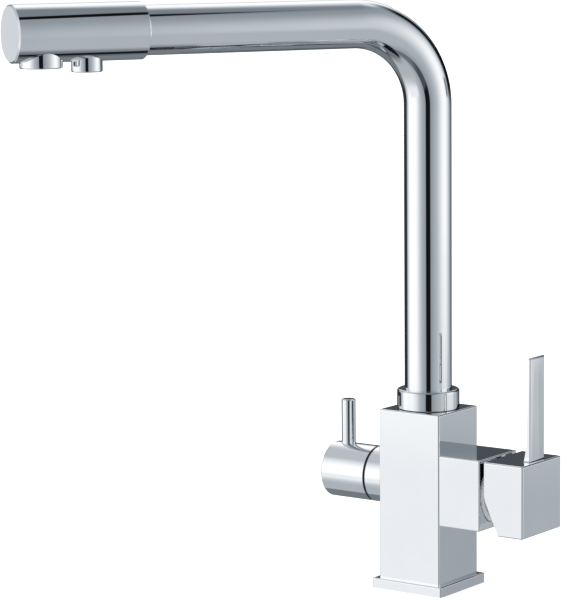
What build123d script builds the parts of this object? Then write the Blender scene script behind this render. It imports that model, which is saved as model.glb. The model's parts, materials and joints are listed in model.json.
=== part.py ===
"""Three way filtered kitchen tap: mixed water and filtered water through one swivelling spout.

Millimetres, +Z up. The origin is on the riser's axis at the underside of the base plate.
+X points along the mixer's axis, -Y is the front, the filter valve is on the -X side.
"""
from build123d import *
import math
import os

os.makedirs("parts", exist_ok=True)

# ---------------------------------------------------------------- column, plate and deck fixing
body_side = 42.2                # width of the square column
body_top = 107.8                # top of the column above the worktop
plate_side = 48.6
plate_height = 6.0
edge_rounding = 0.9             # outer edges of the square pieces
edge_break = 0.4                # small bevel on turned ends
gasket_width = 2.5
gasket_depth = 2.0
gasket_inset = 2.0              # from the plate's hole to the gasket's groove
shank_radius = 16.5             # M33 x 1.5
shank_bore = 14.8
shank_engagement = 16.0         # thread inside the column
shank_length = 58.0             # below the worktop's surface
worktop_thickness = 35.0
deck_washer_radius = 26.0
seal_washer_height = 3.0
deck_washer_height = 1.5
nut_height = 8.0
nut_flats = 46.0

# ---------------------------------------------------------------- hose inlets
inlet_circle = 8.8              # radius of the circle that the three inlets stand on
insert_radius = 5.8
insert_length = 14.0
inlet_thread_radius = 4.46      # M10 x 1, core
inlet_thread_depth = 10.5
cavity_height = 4.0             # free height over the shank, under the inlets
cold_inlet_angle = -60.0
hot_inlet_angle = 60.0
filtered_inlet_angle = 180.0
waterway_radius = 2.4

# ---------------------------------------------------------------- spout
tube_radius = 14.0
tube_wall = 1.2
bend_radius = 48.0
arm_height = 335.3              # centre line of the arm above the worktop
spout_turn = 29.5               # swivelled this far from straight ahead, toward the filter side
collar_wall = 4.5
collar_height = 11.6
collar_rounding = 1.5
journal_radius = 12.0           # bore in the column's top that the spout turns in
chamber_floor = 77.5            # lower end of that bore
glide_ring_radius = 17.0
glide_ring_height = 1.2
glide_ring_proud = 0.15
spigot_bore = 8.0
spigot_flange_height = 2.0
spigot_plug_length = 18.0
spigot_bottom = 84.0
spout_ring_heights = (101.0, 95.0)
ring_groove_depth = 1.9
ring_groove_width = 2.4
retaining_height = 87.7         # height of the grub screw that keeps the spout in
retaining_groove_width = 3.4
retaining_groove_depth = 1.6
retaining_screw_radius = 2.5
retaining_screw_setback = 0.6   # screw's shoulder behind the bore's wall
retaining_hole_overrun = 1.0    # hole runs this far into the bore
retaining_tip_radius = 1.4
inner_tube_radius = 4.0
inner_tube_wall = 1.0
inner_tube_bottom = 84.0
nozzle_top = 92.0
nozzle_bore = 1.4
nozzle_flange_radius = 5.0
nozzle_flange_height = 2.0
nozzle_stub_radius = 3.0
nozzle_ring_height = 88.0
nozzle_ring_section = 0.4

# ---------------------------------------------------------------- outlet head
head_wall = 2.15                # outside the arm's tube
head_start = 179.0              # measured along the arm from the riser's axis
head_end = 256.4
head_bevel = 0.9
end_cap_thickness = 3.0
end_cap_plug = 1.0
tube_insertion = 20.0           # arm tube inside the head
inner_tube_insertion = 8.0      # inner tube inside the divider
channel_offset = 8.8
channel_radius = 3.2
channel_angles = (45, 90, 135)
divider_ring_inset = 2.8
divider_ring_section = 0.7
main_outlet_reach = 238.5
main_outlet_radius = 12.0
main_outlet_drop = 19.2         # outlet's lower edge below the arm's centre line
main_pocket_drop = 8.0
main_chamber_radius = 8.5
main_chamber_rise = 10.0
filtered_outlet_reach = 211.75
filtered_outlet_radius = 8.75
filtered_outlet_drop = 22.0
filtered_pocket_drop = 9.0
filtered_way_radius = 2.0
filtered_drop_radius = 1.7      # way down to the filtered outlet
outlet_wall = 1.6
outlet_lip = 0.8
outlet_lip_height = 1.2
outlet_rounding = 0.8
outlet_seal_height = 2.0
outlet_seal_reach = 1.8          # seal's width inside the ring's wall
jet_hole_radius = 0.8
main_jets = ((3.0, 6), (5.6, 12), (8.2, 18))        # radius of each circle, and its holes
filtered_jets = ((2.6, 6), (4.9, 12))

# ---------------------------------------------------------------- mixer housing and cartridge
mixer_axis_height = 62.8
housing_width = 41.3
housing_height = 42.1
housing_length = 27.6
housing_floor = 4.0
housing_bore = 19.9
housing_screw_radius = 2.0
housing_screw_circle = 15.2
housing_screw_angles = (90, 210, 330)
housing_screw_head_radius = 3.5
housing_screw_head_height = 2.4
housing_screw_head_floor = 1.0  # metal under the head's socket
housing_socket_radius = 1.6
housing_screw_depth = 8.0       # thread inside the column
port_radius = 2.8
inlet_port_circle = 10.0
inlet_port_angles = (150, 30)   # cold at the front, hot at the back
outlet_port_drop = 6.0
port_seal_section = 0.7
port_seal_radius = 3.8
cartridge_radius = 17.5
cartridge_wall = 2.0
cartridge_base = 3.5
fixed_disc_thickness = 3.5
moving_disc_room = 3.0          # between the moving disc and the cartridge's wall
moving_disc_thickness = 3.0
moving_disc_offset = 1.6        # moving disc's centre below the axis when closed
mixing_recess_radius = 8.0
mixing_recess_depth = 1.4
carrier_thickness = 4.0
rotor_flange_thickness = 3.0
rotor_hub_radius = 9.4
rotor_hub_height = 5.2
rotor_slot_floor = 1.5
rotor_slot_height = 11.8
arm_slot_rise = 1.2
arm_slot_height = 8.4
cap_thickness = 2.5
cartridge_nut_lip = 2.0
cartridge_nut_overlap = 3.8
cartridge_nut_bore = 14.0
cover_radius = 18.8
cover_skirt = 1.7
cover_rise = 1.7
cover_hole = 11.2
cover_wall = 1.2
pivot_depth = 23.9              # lever's pivot, from the column's side
pivot_pin_radius = 1.5
pivot_pin_inset = 1.4           # pin's ends below the hub's rim
stem_arm = 7.4                  # from the pivot to the ball end
stem_arm_radius = 1.7
stem_ball_radius = 2.0
stem_neck_width = 8.0
stem_neck_height = 7.0
stem_neck_back = 2.4            # neck's inner end, behind the pivot
stem_square = 9.0
stem_square_ahead = 5.5         # square's inner end, ahead of the pivot
stem_square_length = 17.5

# ---------------------------------------------------------------- mixer handle
handle_gap = 3.7                # air between housing and handle
handle_depth = 26.0
handle_width = 43.2
handle_height = 42.8
handle_drop = 0.6               # block's centre below the cartridge's axis
handle_rounding = 1.0           # outer edges
handle_cut_depth = 9.6          # how far the lower edge stands back from the upper one
handle_cut_rounding = 16.0
handle_wall = 3.0
handle_end_wall = 8.4
handle_boss = 16.0
handle_screw_radius = 2.5
handle_screw_length = 10.0
handle_screw_inset = 2.8        # from the stem's end
lever_width = 16.0
lever_rise = 61.0               # above the handle block
lever_root = 4.6
lever_middle = 2.6
lever_tip = 1.6
lever_flare = 16.0              # height of the flare at the root
lever_inset = 3.2               # lever's outer face behind the block's end
tenon_depth = 8.0
tenon_width = 10.8
tenon_thickness = 3.2
socket_radius = 1.4             # hexagon sockets of the grub screws
socket_depth = 3.0

# ---------------------------------------------------------------- filter valve
filter_axis_height = 63.9
pocket_depth = 13.6             # from the column's side
pocket_radius = 9.6
seat_port_radius = 2.2
seat_port_end = 0.5             # blind end of the seat port, from the riser's axis
supply_way_overrun = 0.5
supply_way_radius = 2.0         # slanted way from the filtered inlet to the seat port
return_way_rise = 8.3           # way to the nozzle, above the valve's axis, outside the seal
return_way_radius = 1.2
return_way_end = 1.0            # past the riser's axis
neck_per_flats = 0.76           # neck's radius for each millimetre across the hexagon's flats
neck_length = 13.5
neck_spigot_radius = 12.0
neck_spigot_length = 4.0
headwork_thread = 10.35
headwork_skirt = 9.2
headwork_bore = 7.7
seat_seal_height = 2.1
seat_seal_radius = 6.9
seat_seal_bore = 5.6
valve_disc_thickness = 2.5
valve_foot_thickness = 3.8
valve_opening_start = 2.3       # two openings in each ceramic disc, from the valve's axis
fixed_opening_end = 5.5
valve_opening_height = 4.4
moving_disc_turn = 90           # moving disc's openings at rest, turned from the fixed one's
valve_chamber_length = 13.5
headwork_flats = 22.0
hexagon_play = 0.5              # radial, round the hexagon's corners
headwork_flange = 5.0
headwork_flange_depth = 4.4     # hexagon's inner side, inside the neck's end
headwork_guide_radius = 6.9
headwork_guide_length = 9.4     # beyond the neck's end
headwork_ring_section = 0.8
headwork_ring_setback = 2.6     # ring's groove, from the hexagon
spindle_radius = 4.0
spindle_length = 23.4           # beyond the neck's end
clip_radius = 6.0
clip_thickness = 1.0
clip_groove_depth = 0.6
clip_mouth = 5.0
knob_gap = 1.7
knob_ring_step = 0.8            # ring's side below the neck's
knob_ring_spigot = 1.6
knob_length = 30.7
knob_rounding = 1.2
knob_wall = 3.2
knob_cavity_depth = 10.7
pin_radius = 4.3
pin_ahead = 22.9                # pin's axis, from the neck's end
pin_top = 107.4                 # above the worktop
pin_seat = 12.0                 # pin's shoulder, from the valve's axis
pin_bevel = 0.8
pin_stub_radius = 2.5
pin_stub_start = 5.0
knob_screw_radius = 2.0
knob_screw_length = 5.0
knob_screw_ahead = 17.4         # from the neck's end
knob_socket_radius = 1.1
knob_socket_depth = 2.5

# ---------------------------------------------------------------- clearances
running = 0.05                  # radial, shafts, threads and discs that turn or slide
fit = 0.1                       # radial, pieces that are fitted together
play = 0.3                      # air between pieces that move past each other
hole_play = 0.2                 # radial, holes that the shank passes

# ---------------------------------------------------------------- sizes that follow
body_half = body_side / 2
collar_radius = tube_radius + collar_wall
head_radius = tube_radius + head_wall
neck_radius = headwork_flats * neck_per_flats
hexagon_corner = headwork_flats / math.sqrt(3)
pocket_floor = body_half - pocket_depth
moving_disc_radius = cartridge_radius - cartridge_wall - moving_disc_room
shank_top = plate_height + shank_engagement
cavity_top = shank_top + cavity_height
insert_top = cavity_top + insert_length
housing_face = body_half + housing_length
cartridge_start = body_half + housing_floor
disc_start = cartridge_start + cartridge_base
moving_start = disc_start + fixed_disc_thickness + running
carrier_start = moving_start + moving_disc_thickness
rotor_start = carrier_start + carrier_thickness + play
cap_start = rotor_start + rotor_flange_thickness + play
nut_lip_start = cap_start + cap_thickness
cover_start = nut_lip_start + cartridge_nut_lip
rotor_hub_end = rotor_start + rotor_flange_thickness + rotor_hub_height
pivot_reach = body_half + pivot_depth
stem_square_start = pivot_reach + stem_square_ahead
stem_end = stem_square_start + stem_square_length
handle_start = housing_face + handle_gap
handle_end = handle_start + handle_depth
handle_centre = mixer_axis_height - handle_drop
handle_top = handle_centre + handle_height / 2
handle_bottom = handle_centre - handle_height / 2
inlet_port_rise = inlet_port_circle * math.sin(math.radians(inlet_port_angles[1]))
inlet_port_side = inlet_port_circle * math.cos(math.radians(inlet_port_angles[1]))
neck_end = body_half + neck_length
knob_start = neck_end + knob_gap
pin_reach = neck_end + pin_ahead
knob_screw_reach = neck_end + knob_screw_ahead
headwork_flange_start = neck_end - headwork_flange_depth
headwork_guide_end = neck_end + headwork_guide_length
spindle_end = neck_end + spindle_length
valve_disc_start = pocket_floor + seat_seal_height
valve_moving_start = valve_disc_start + valve_disc_thickness + running
valve_foot_start = valve_moving_start + valve_disc_thickness
valve_chamber_end = pocket_floor + valve_chamber_length
glide_top = body_top + glide_ring_proud
spigot_flange_bottom = glide_top + fit
tube_bottom = spigot_flange_bottom + spigot_flange_height
collar_bottom = body_top + play
inner_tube_bore = inner_tube_radius - inner_tube_wall
nozzle_radius = inner_tube_bore - fit
tube_end = head_start + tube_insertion
divider_start = tube_end + play
cap_seat = head_end - end_cap_thickness
divider_end = cap_seat - end_cap_plug - play
head_bore = tube_radius + fit

# ---------------------------------------------------------------- directions and planes
arm_direction = Vector(
    -math.sin(math.radians(spout_turn)),
    -math.cos(math.radians(spout_turn)),
    0,
)
arm_side = Vector(0, 0, 1).cross(arm_direction)
CUT = Mode.SUBTRACT
FROM_FACE = (Align.CENTER, Align.CENTER, Align.MIN)


def mixer_plane(reach, side=0.0, rise=0.0):
    """Plane across the mixer's axis, facing outward, with local axes +Y and +Z."""
    place = (reach, side, mixer_axis_height + rise)
    return Plane(origin=place, x_dir=(0, 1, 0), z_dir=(1, 0, 0))


def filter_plane(reach):
    """Plane across the filter valve's axis, facing outward."""
    return Plane(origin=(-reach, 0, filter_axis_height), x_dir=(0, -1, 0), z_dir=(-1, 0, 0))


def deck_plane(height, across=0.0, along=0.0):
    """Level plane facing up at a height above the worktop."""
    return Plane(origin=(across, along, height), x_dir=(1, 0, 0), z_dir=(0, 0, 1))


def arm_point(reach, rise=0.0):
    """Point on the arm's centre line, or straight above or below it."""
    return arm_direction * reach + Vector(0, 0, arm_height + rise)


def arm_plane(reach):
    """Plane across the arm, facing its outer end."""
    return Plane(origin=arm_point(reach), x_dir=arm_side, z_dir=arm_direction)


def outlet_plane(reach, drop):
    """Level plane facing down, a drop below the arm's centre line."""
    return Plane(origin=arm_point(reach, -drop), x_dir=arm_direction, z_dir=(0, 0, -1))


def knob_radial(reach, radius, up=1):
    """Plane at a radius from the filter valve's axis, facing up or down."""
    place = (-reach, 0, filter_axis_height + up * radius)
    return Plane(origin=place, x_dir=(1, 0, 0), z_dir=(0, 0, up))


def inlet_point(angle, height):
    """Centre of a hose inlet at a height."""
    turn = math.radians(angle)
    return (inlet_circle * math.cos(turn), inlet_circle * math.sin(turn), height)


def disc(plane, radius, length, mode=Mode.ADD):
    """Add or cut a round disc that grows from the plane along its normal."""
    with Locations(plane):
        Cylinder(radius, length, align=FROM_FACE, mode=mode)


def tube(plane, outer, inner, length):
    """Add a plain ring or tube that grows from the plane along its normal."""
    disc(plane, outer, length)
    disc(plane, inner, length, CUT)


def groove(plane, outer, inner, width):
    """Cut a square groove between two radii round the plane's normal."""
    cutter = Cylinder(outer, width, align=FROM_FACE, mode=Mode.PRIVATE)
    cutter -= Cylinder(inner, width, align=FROM_FACE, mode=Mode.PRIVATE)
    add(plane * cutter, mode=CUT)


def drill(start, end, radius):
    """Cut a straight round way from one point to another."""
    way = Vector(*end) - Vector(*start)
    disc(Plane(origin=start, z_dir=way), radius, way.length, CUT)


def o_ring(plane, centre_radius, section_radius):
    """Add an O-ring whose centre circle lies in the plane."""
    with Locations(plane):
        Torus(centre_radius, section_radius)


def finish(piece, name):
    """Label a finished piece and write it."""
    piece.part.label = name
    export_step(piece.part, f"parts/{name}.step")


# ================================================================ base plate and deck fixing
gasket_inner = shank_radius + hole_play + gasket_inset

with BuildPart() as base_plate:
    with BuildSketch():
        Rectangle(plate_side, plate_side)
    extrude(amount=plate_height)
    fillet(base_plate.edges().filter_by(Axis.Z), edge_rounding)
    fillet(base_plate.faces().sort_by(Axis.Z)[-1].edges(), edge_rounding)
    disc(deck_plane(0), shank_radius + hole_play, plate_height, CUT)
    groove(deck_plane(0), gasket_inner + gasket_width, gasket_inner, gasket_depth)
finish(base_plate, "base_plate")

with BuildPart() as base_gasket:
    tube(deck_plane(0), gasket_inner + gasket_width - fit, gasket_inner + fit, gasket_depth)
finish(base_gasket, "base_gasket")

with BuildPart() as mounting_shank:
    tube(deck_plane(-shank_length), shank_radius, shank_bore, shank_length + shank_top)
    chamfer(mounting_shank.faces().sort_by(Axis.Z)[0].edges(), edge_break)
finish(mounting_shank, "mounting_shank")

seal_washer_bottom = -worktop_thickness - seal_washer_height
deck_washer_bottom = seal_washer_bottom - deck_washer_height
nut_bottom = deck_washer_bottom - nut_height

with BuildPart() as deck_seal_washer:
    tube(
        deck_plane(seal_washer_bottom),
        deck_washer_radius,
        shank_radius + hole_play,
        seal_washer_height,
    )
finish(deck_seal_washer, "deck_seal_washer")

with BuildPart() as deck_washer:
    tube(
        deck_plane(deck_washer_bottom),
        deck_washer_radius,
        shank_radius + hole_play,
        deck_washer_height,
    )
finish(deck_washer, "deck_washer")

with BuildPart() as shank_nut:
    with BuildSketch(deck_plane(nut_bottom)):
        RegularPolygon(nut_flats / 2, 6, major_radius=False)
        Circle(shank_radius + running, mode=CUT)
    extrude(amount=nut_height)
finish(shank_nut, "shank_nut")

# ================================================================ column with its waterways
cold_low = inlet_point(cold_inlet_angle, insert_top)
hot_low = inlet_point(hot_inlet_angle, insert_top)
filtered_low = inlet_point(filtered_inlet_angle, insert_top)
port_height = mixer_axis_height + inlet_port_rise
outlet_height = mixer_axis_height - outlet_port_drop
mixed_way_reach = journal_radius - port_radius - fit
return_height = filter_axis_height + return_way_rise

with BuildPart() as main_body:
    with BuildSketch(deck_plane(plate_height)):
        Rectangle(body_side, body_side)
    extrude(amount=body_top - plate_height)
    fillet(main_body.edges().filter_by(Axis.Z), edge_rounding)
    fillet(main_body.faces().sort_by(Axis.Z)[-1].edges(), edge_rounding)
    # foot: thread for the shank, then a cavity with three sockets for the inlets
    disc(deck_plane(plate_height), shank_radius + running, shank_engagement, CUT)
    disc(deck_plane(shank_top), shank_bore, cavity_height, CUT)
    for inlet_angle in (cold_inlet_angle, hot_inlet_angle, filtered_inlet_angle):
        with Locations(Plane(origin=inlet_point(inlet_angle, cavity_top))):
            Cylinder(insert_radius, insert_length, align=FROM_FACE, mode=CUT)
    # cold and hot water rise beside the axis and cross over to the mixer
    for low_point, port_side in ((cold_low, -inlet_port_side), (hot_low, inlet_port_side)):
        drill(low_point, (low_point[0], low_point[1], port_height), waterway_radius)
        drill(
            (low_point[0] - port_radius, port_side, port_height),
            (body_half, port_side, port_height),
            port_radius,
        )
    # mixed water comes back and rises into the spout's chamber
    drill(
        (body_half, 0, outlet_height),
        (mixed_way_reach - port_radius, 0, outlet_height),
        port_radius,
    )
    drill(
        (mixed_way_reach, 0, outlet_height),
        (mixed_way_reach, 0, chamber_floor),
        waterway_radius,
    )
    # filtered water goes to the valve's seat, and back to the nozzle's socket
    drill(filtered_low, (-seat_port_end - supply_way_overrun, 0, filter_axis_height), supply_way_radius)
    drill(
        (-pocket_floor, 0, filter_axis_height),
        (-seat_port_end, 0, filter_axis_height),
        seat_port_radius,
    )
    disc(filter_plane(pocket_floor), pocket_radius, body_half - pocket_floor, CUT)
    disc(
        filter_plane(body_half - neck_spigot_length),
        neck_spigot_radius,
        neck_spigot_length,
        CUT,
    )
    drill(
        (-pocket_floor, 0, return_height),
        (return_way_end, 0, return_height),
        return_way_radius,
    )
    disc(deck_plane(return_height), nozzle_stub_radius, chamber_floor - return_height, CUT)
    # top bore that the spout turns in, with a seat for its glide ring
    disc(deck_plane(chamber_floor), journal_radius, body_top - chamber_floor, CUT)
    glide_seat = body_top + glide_ring_proud - glide_ring_height
    disc(deck_plane(glide_seat), glide_ring_radius + fit, glide_ring_height, CUT)
    # tapped holes: the spout's grub screw at the back, the housing's screws at the side
    drill(
        (0, body_half, retaining_height),
        (0, journal_radius - retaining_hole_overrun, retaining_height),
        retaining_screw_radius,
    )
    with Locations(mixer_plane(body_half)):
        with PolarLocations(
            housing_screw_circle,
            len(housing_screw_angles),
            start_angle=housing_screw_angles[0],
        ):
            Cylinder(
                housing_screw_radius,
                housing_screw_depth + play,
                align=(Align.CENTER, Align.CENTER, Align.MAX),
                mode=CUT,
            )
finish(main_body, "main_body")


def inlet_insert(angle):
    """Brass insert: threaded from below, then a waterway."""
    with BuildPart() as insert:
        low_plane = Plane(origin=inlet_point(angle, cavity_top))
        disc(low_plane, insert_radius - running, insert_length)
        disc(low_plane, waterway_radius, insert_length, CUT)
        disc(low_plane, inlet_thread_radius, inlet_thread_depth, CUT)
    return insert


finish(inlet_insert(cold_inlet_angle), "cold_inlet_insert")
finish(inlet_insert(hot_inlet_angle), "hot_inlet_insert")
finish(inlet_insert(filtered_inlet_angle), "filtered_inlet_insert")

with BuildPart() as spout_glide_ring:
    tube(
        deck_plane(glide_seat),
        glide_ring_radius,
        journal_radius + hole_play,
        glide_ring_height,
    )
finish(spout_glide_ring, "spout_glide_ring")

screw_inner_end = journal_radius + retaining_screw_setback
retaining_tip_end = journal_radius - retaining_groove_depth + play

with BuildPart() as spout_retaining_screw:
    screw_plane = Plane(origin=(0, screw_inner_end, retaining_height), z_dir=(0, 1, 0))
    tip_plane = Plane(origin=(0, retaining_tip_end, retaining_height), z_dir=(0, 1, 0))
    disc(
        screw_plane,
        retaining_screw_radius - running,
        body_half - play - screw_inner_end,
    )
    disc(tip_plane, retaining_tip_radius, screw_inner_end - retaining_tip_end)
    # hexagon socket in the outer end
    socket_plane = Plane(origin=(0, body_half - play, retaining_height), z_dir=(0, -1, 0))
    with BuildSketch(socket_plane):
        RegularPolygon(socket_radius, 6)
    extrude(amount=socket_depth, mode=CUT)
finish(spout_retaining_screw, "spout_retaining_screw")

with BuildPart() as filtered_water_nozzle:
    stub_bottom = return_height + return_way_radius + hole_play
    disc(
        deck_plane(stub_bottom),
        nozzle_stub_radius - running,
        chamber_floor - stub_bottom,
    )
    disc(deck_plane(chamber_floor), nozzle_flange_radius, nozzle_flange_height)
    disc(deck_plane(chamber_floor), nozzle_radius, nozzle_top - chamber_floor)
    disc(deck_plane(stub_bottom), nozzle_bore, nozzle_top - stub_bottom, CUT)
    groove(
        deck_plane(nozzle_ring_height - nozzle_ring_section - fit),
        nozzle_radius,
        nozzle_radius - 2 * nozzle_ring_section,
        2 * (nozzle_ring_section + fit),
    )
finish(filtered_water_nozzle, "filtered_water_nozzle")

with BuildPart() as nozzle_o_ring:
    o_ring(
        deck_plane(nozzle_ring_height),
        nozzle_radius - nozzle_ring_section,
        nozzle_ring_section,
    )
finish(nozzle_o_ring, "nozzle_o_ring")

# ================================================================ mixer housing and cartridge

def cut_ports(reach, length):
    """Cut the two inlet ports and the outlet port through a piece on the mixer's axis."""
    for side in (-inlet_port_side, inlet_port_side):
        disc(mixer_plane(reach, side, inlet_port_rise), port_radius, length, CUT)
    disc(mixer_plane(reach, 0.0, -outlet_port_drop), port_radius, length, CUT)


def port_rings(reach):
    """Add one O-ring round each port, half sunk in the face that it seals."""
    for side in (-inlet_port_side, inlet_port_side):
        o_ring(mixer_plane(reach, side, inlet_port_rise), port_seal_radius, port_seal_section)
    o_ring(
        mixer_plane(reach, 0.0, -outlet_port_drop),
        port_seal_radius,
        port_seal_section,
    )


def port_ring_grooves(face_reach, outward):
    """Cut the grooves that hold a set of port O-rings, into the side that is outward."""
    start = face_reach if outward else face_reach - 2 * port_seal_section
    for side, rise in (
        (-inlet_port_side, inlet_port_rise),
        (inlet_port_side, inlet_port_rise),
        (0.0, -outlet_port_drop),
    ):
        groove(
            mixer_plane(start, side, rise),
            port_seal_radius + port_seal_section + fit / 2,
            port_seal_radius - port_seal_section - fit / 2,
            2 * port_seal_section,
        )


with BuildPart() as mixer_housing:
    with BuildSketch(mixer_plane(body_half)):
        Rectangle(housing_width, housing_height)
    extrude(amount=housing_length)
    fillet(mixer_housing.edges().filter_by(Axis.X), edge_rounding)
    fillet(mixer_housing.faces().sort_by(Axis.X)[-1].edges(), edge_rounding)
    disc(mixer_plane(cartridge_start), housing_bore, housing_length - housing_floor, CUT)
    cut_ports(body_half, housing_floor)
    port_ring_grooves(body_half, outward=True)
    head_plane_reach = cartridge_start - housing_screw_head_height - hole_play
    for reach, radius in (
        (body_half, housing_screw_radius + fit),
        (head_plane_reach, housing_screw_head_radius + fit),
    ):
        with Locations(mixer_plane(reach)):
            with PolarLocations(
                housing_screw_circle,
                len(housing_screw_angles),
                start_angle=housing_screw_angles[0],
            ):
                Cylinder(radius, housing_floor, align=FROM_FACE, mode=CUT)
finish(mixer_housing, "mixer_housing")

with BuildPart() as housing_screws:
    for screw_angle in housing_screw_angles:
        turn = math.radians(screw_angle)
        side = housing_screw_circle * math.cos(turn)
        rise = housing_screw_circle * math.sin(turn)
        thread_plane = mixer_plane(body_half - housing_screw_depth, side, rise)
        thread_length = head_plane_reach - body_half + housing_screw_depth
        disc(thread_plane, housing_screw_radius - running, thread_length)
        disc(
            mixer_plane(head_plane_reach, side, rise),
            housing_screw_head_radius,
            housing_screw_head_height,
        )
        socket_start = head_plane_reach + housing_screw_head_floor
        with BuildSketch(mixer_plane(socket_start, side, rise)):
            RegularPolygon(housing_socket_radius, 6)
        extrude(amount=housing_screw_head_height, mode=CUT)
finish(housing_screws, "housing_screws")

with BuildPart() as housing_port_seals:
    port_rings(body_half + port_seal_section)
finish(housing_port_seals, "housing_port_seals")

with BuildPart() as cartridge_body:
    disc(mixer_plane(cartridge_start), cartridge_radius, cartridge_base)
    tube(
        mixer_plane(disc_start),
        cartridge_radius,
        cartridge_radius - cartridge_wall,
        cap_start - disc_start,
    )
    cut_ports(cartridge_start, cartridge_base)
    port_ring_grooves(cartridge_start, outward=True)
finish(cartridge_body, "cartridge_body")

with BuildPart() as cartridge_base_seals:
    port_rings(cartridge_start + port_seal_section)
finish(cartridge_base_seals, "cartridge_base_seals")

with BuildPart() as fixed_ceramic_disc:
    disc(
        mixer_plane(disc_start),
        cartridge_radius - cartridge_wall - hole_play,
        fixed_disc_thickness,
    )
    cut_ports(disc_start, fixed_disc_thickness)
finish(fixed_ceramic_disc, "fixed_ceramic_disc")

with BuildPart() as moving_ceramic_disc:
    moving_plane = mixer_plane(moving_start, 0.0, -moving_disc_offset)
    disc(moving_plane, moving_disc_radius, moving_disc_thickness)
    disc(moving_plane, mixing_recess_radius, mixing_recess_depth, CUT)
finish(moving_ceramic_disc, "moving_ceramic_disc")

ball_reach = pivot_reach - stem_arm

with BuildPart() as disc_carrier:
    disc(
        mixer_plane(carrier_start, 0.0, -moving_disc_offset),
        moving_disc_radius - hole_play,
        carrier_thickness,
    )
    pocket_reach = ball_reach - stem_ball_radius - play
    disc(
        mixer_plane(pocket_reach),
        stem_ball_radius + play,
        carrier_start + carrier_thickness - pocket_reach,
        CUT,
    )
finish(disc_carrier, "disc_carrier")

rotor_slot_bottom = rotor_start + rotor_slot_floor

with BuildPart() as cartridge_rotor:
    disc(
        mixer_plane(rotor_start),
        cartridge_radius - cartridge_wall - play,
        rotor_flange_thickness,
    )
    disc(
        mixer_plane(rotor_start + rotor_flange_thickness),
        rotor_hub_radius,
        rotor_hub_height,
    )
    # slot that the stem tips in, and a narrower one below for its arm
    with BuildSketch(mixer_plane(rotor_slot_bottom)):
        Rectangle(stem_neck_width + 2 * fit, rotor_slot_height)
    extrude(amount=rotor_hub_end - rotor_slot_bottom, mode=CUT)
    with BuildSketch(mixer_plane(rotor_start, 0.0, arm_slot_rise)):
        Rectangle(2 * stem_ball_radius + 2 * play, arm_slot_height)
    extrude(amount=rotor_slot_bottom - rotor_start, mode=CUT)
    pin_half = rotor_hub_radius - pivot_pin_inset
    drill(
        (pivot_reach, -pin_half, mixer_axis_height),
        (pivot_reach, pin_half, mixer_axis_height),
        pivot_pin_radius + running / 2,
    )
finish(cartridge_rotor, "cartridge_rotor")

with BuildPart() as stem_pivot_pin:
    pin_plane = Plane(origin=(pivot_reach, -pin_half, mixer_axis_height), z_dir=(0, 1, 0))
    disc(pin_plane, pivot_pin_radius, 2 * pin_half)
finish(stem_pivot_pin, "stem_pivot_pin")

with BuildPart() as cartridge_stem:
    with BuildSketch(mixer_plane(stem_square_start)):
        Rectangle(stem_square, stem_square)
    extrude(amount=stem_end - stem_square_start)
    neck_start = pivot_reach - stem_neck_back
    with BuildSketch(mixer_plane(neck_start)):
        Rectangle(stem_neck_width, stem_neck_height)
    extrude(amount=stem_square_start - neck_start)
    disc(mixer_plane(ball_reach), stem_arm_radius, neck_start - ball_reach)
    with Locations(mixer_plane(ball_reach)):
        Sphere(stem_ball_radius)
    drill(
        (pivot_reach, -stem_neck_width, mixer_axis_height),
        (pivot_reach, stem_neck_width, mixer_axis_height),
        pivot_pin_radius + running,
    )
finish(cartridge_stem, "cartridge_stem")

with BuildPart() as cartridge_cap:
    tube(mixer_plane(cap_start), cartridge_radius, rotor_hub_radius + play, cap_thickness)
finish(cartridge_cap, "cartridge_cap")

with BuildPart() as cartridge_nut:
    tube(
        mixer_plane(nut_lip_start - cartridge_nut_overlap),
        housing_bore - running,
        cartridge_radius + fit,
        cartridge_nut_overlap,
    )
    disc(mixer_plane(nut_lip_start), housing_bore - running, cartridge_nut_lip)
    disc(mixer_plane(nut_lip_start), cartridge_nut_bore, cartridge_nut_lip, CUT)
finish(cartridge_nut, "cartridge_nut")

with BuildPart() as cartridge_cover:
    skirt_end = cover_start + cover_skirt
    cover_top = skirt_end + cover_rise
    meridian = Plane(origin=(0, 0, mixer_axis_height), x_dir=(1, 0, 0), z_dir=(0, -1, 0))
    with BuildSketch(meridian):
        with BuildLine():
            Line((cover_start, cover_radius - cover_wall), (cover_start, cover_radius))
            Line((cover_start, cover_radius), (skirt_end, cover_radius))
            TangentArc((cover_top, cover_hole), (skirt_end, cover_radius), tangent=(0, 1))
            Line((cover_top, cover_hole), (cover_top - cover_wall, cover_hole))
            Line(
                (cover_top - cover_wall, cover_hole),
                (skirt_end - cover_wall / 2, cover_radius - cover_wall),
            )
            Line(
                (skirt_end - cover_wall / 2, cover_radius - cover_wall),
                (cover_start, cover_radius - cover_wall),
            )
        make_face()
    revolve(axis=Axis((0, 0, mixer_axis_height), (1, 0, 0)))
finish(cartridge_cover, "cartridge_cover")

# ================================================================ mixer handle
front_view = Plane(origin=(0, 0, 0), x_dir=(1, 0, 0), z_dir=(0, -1, 0))
screw_reach = stem_end - handle_screw_inset

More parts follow.
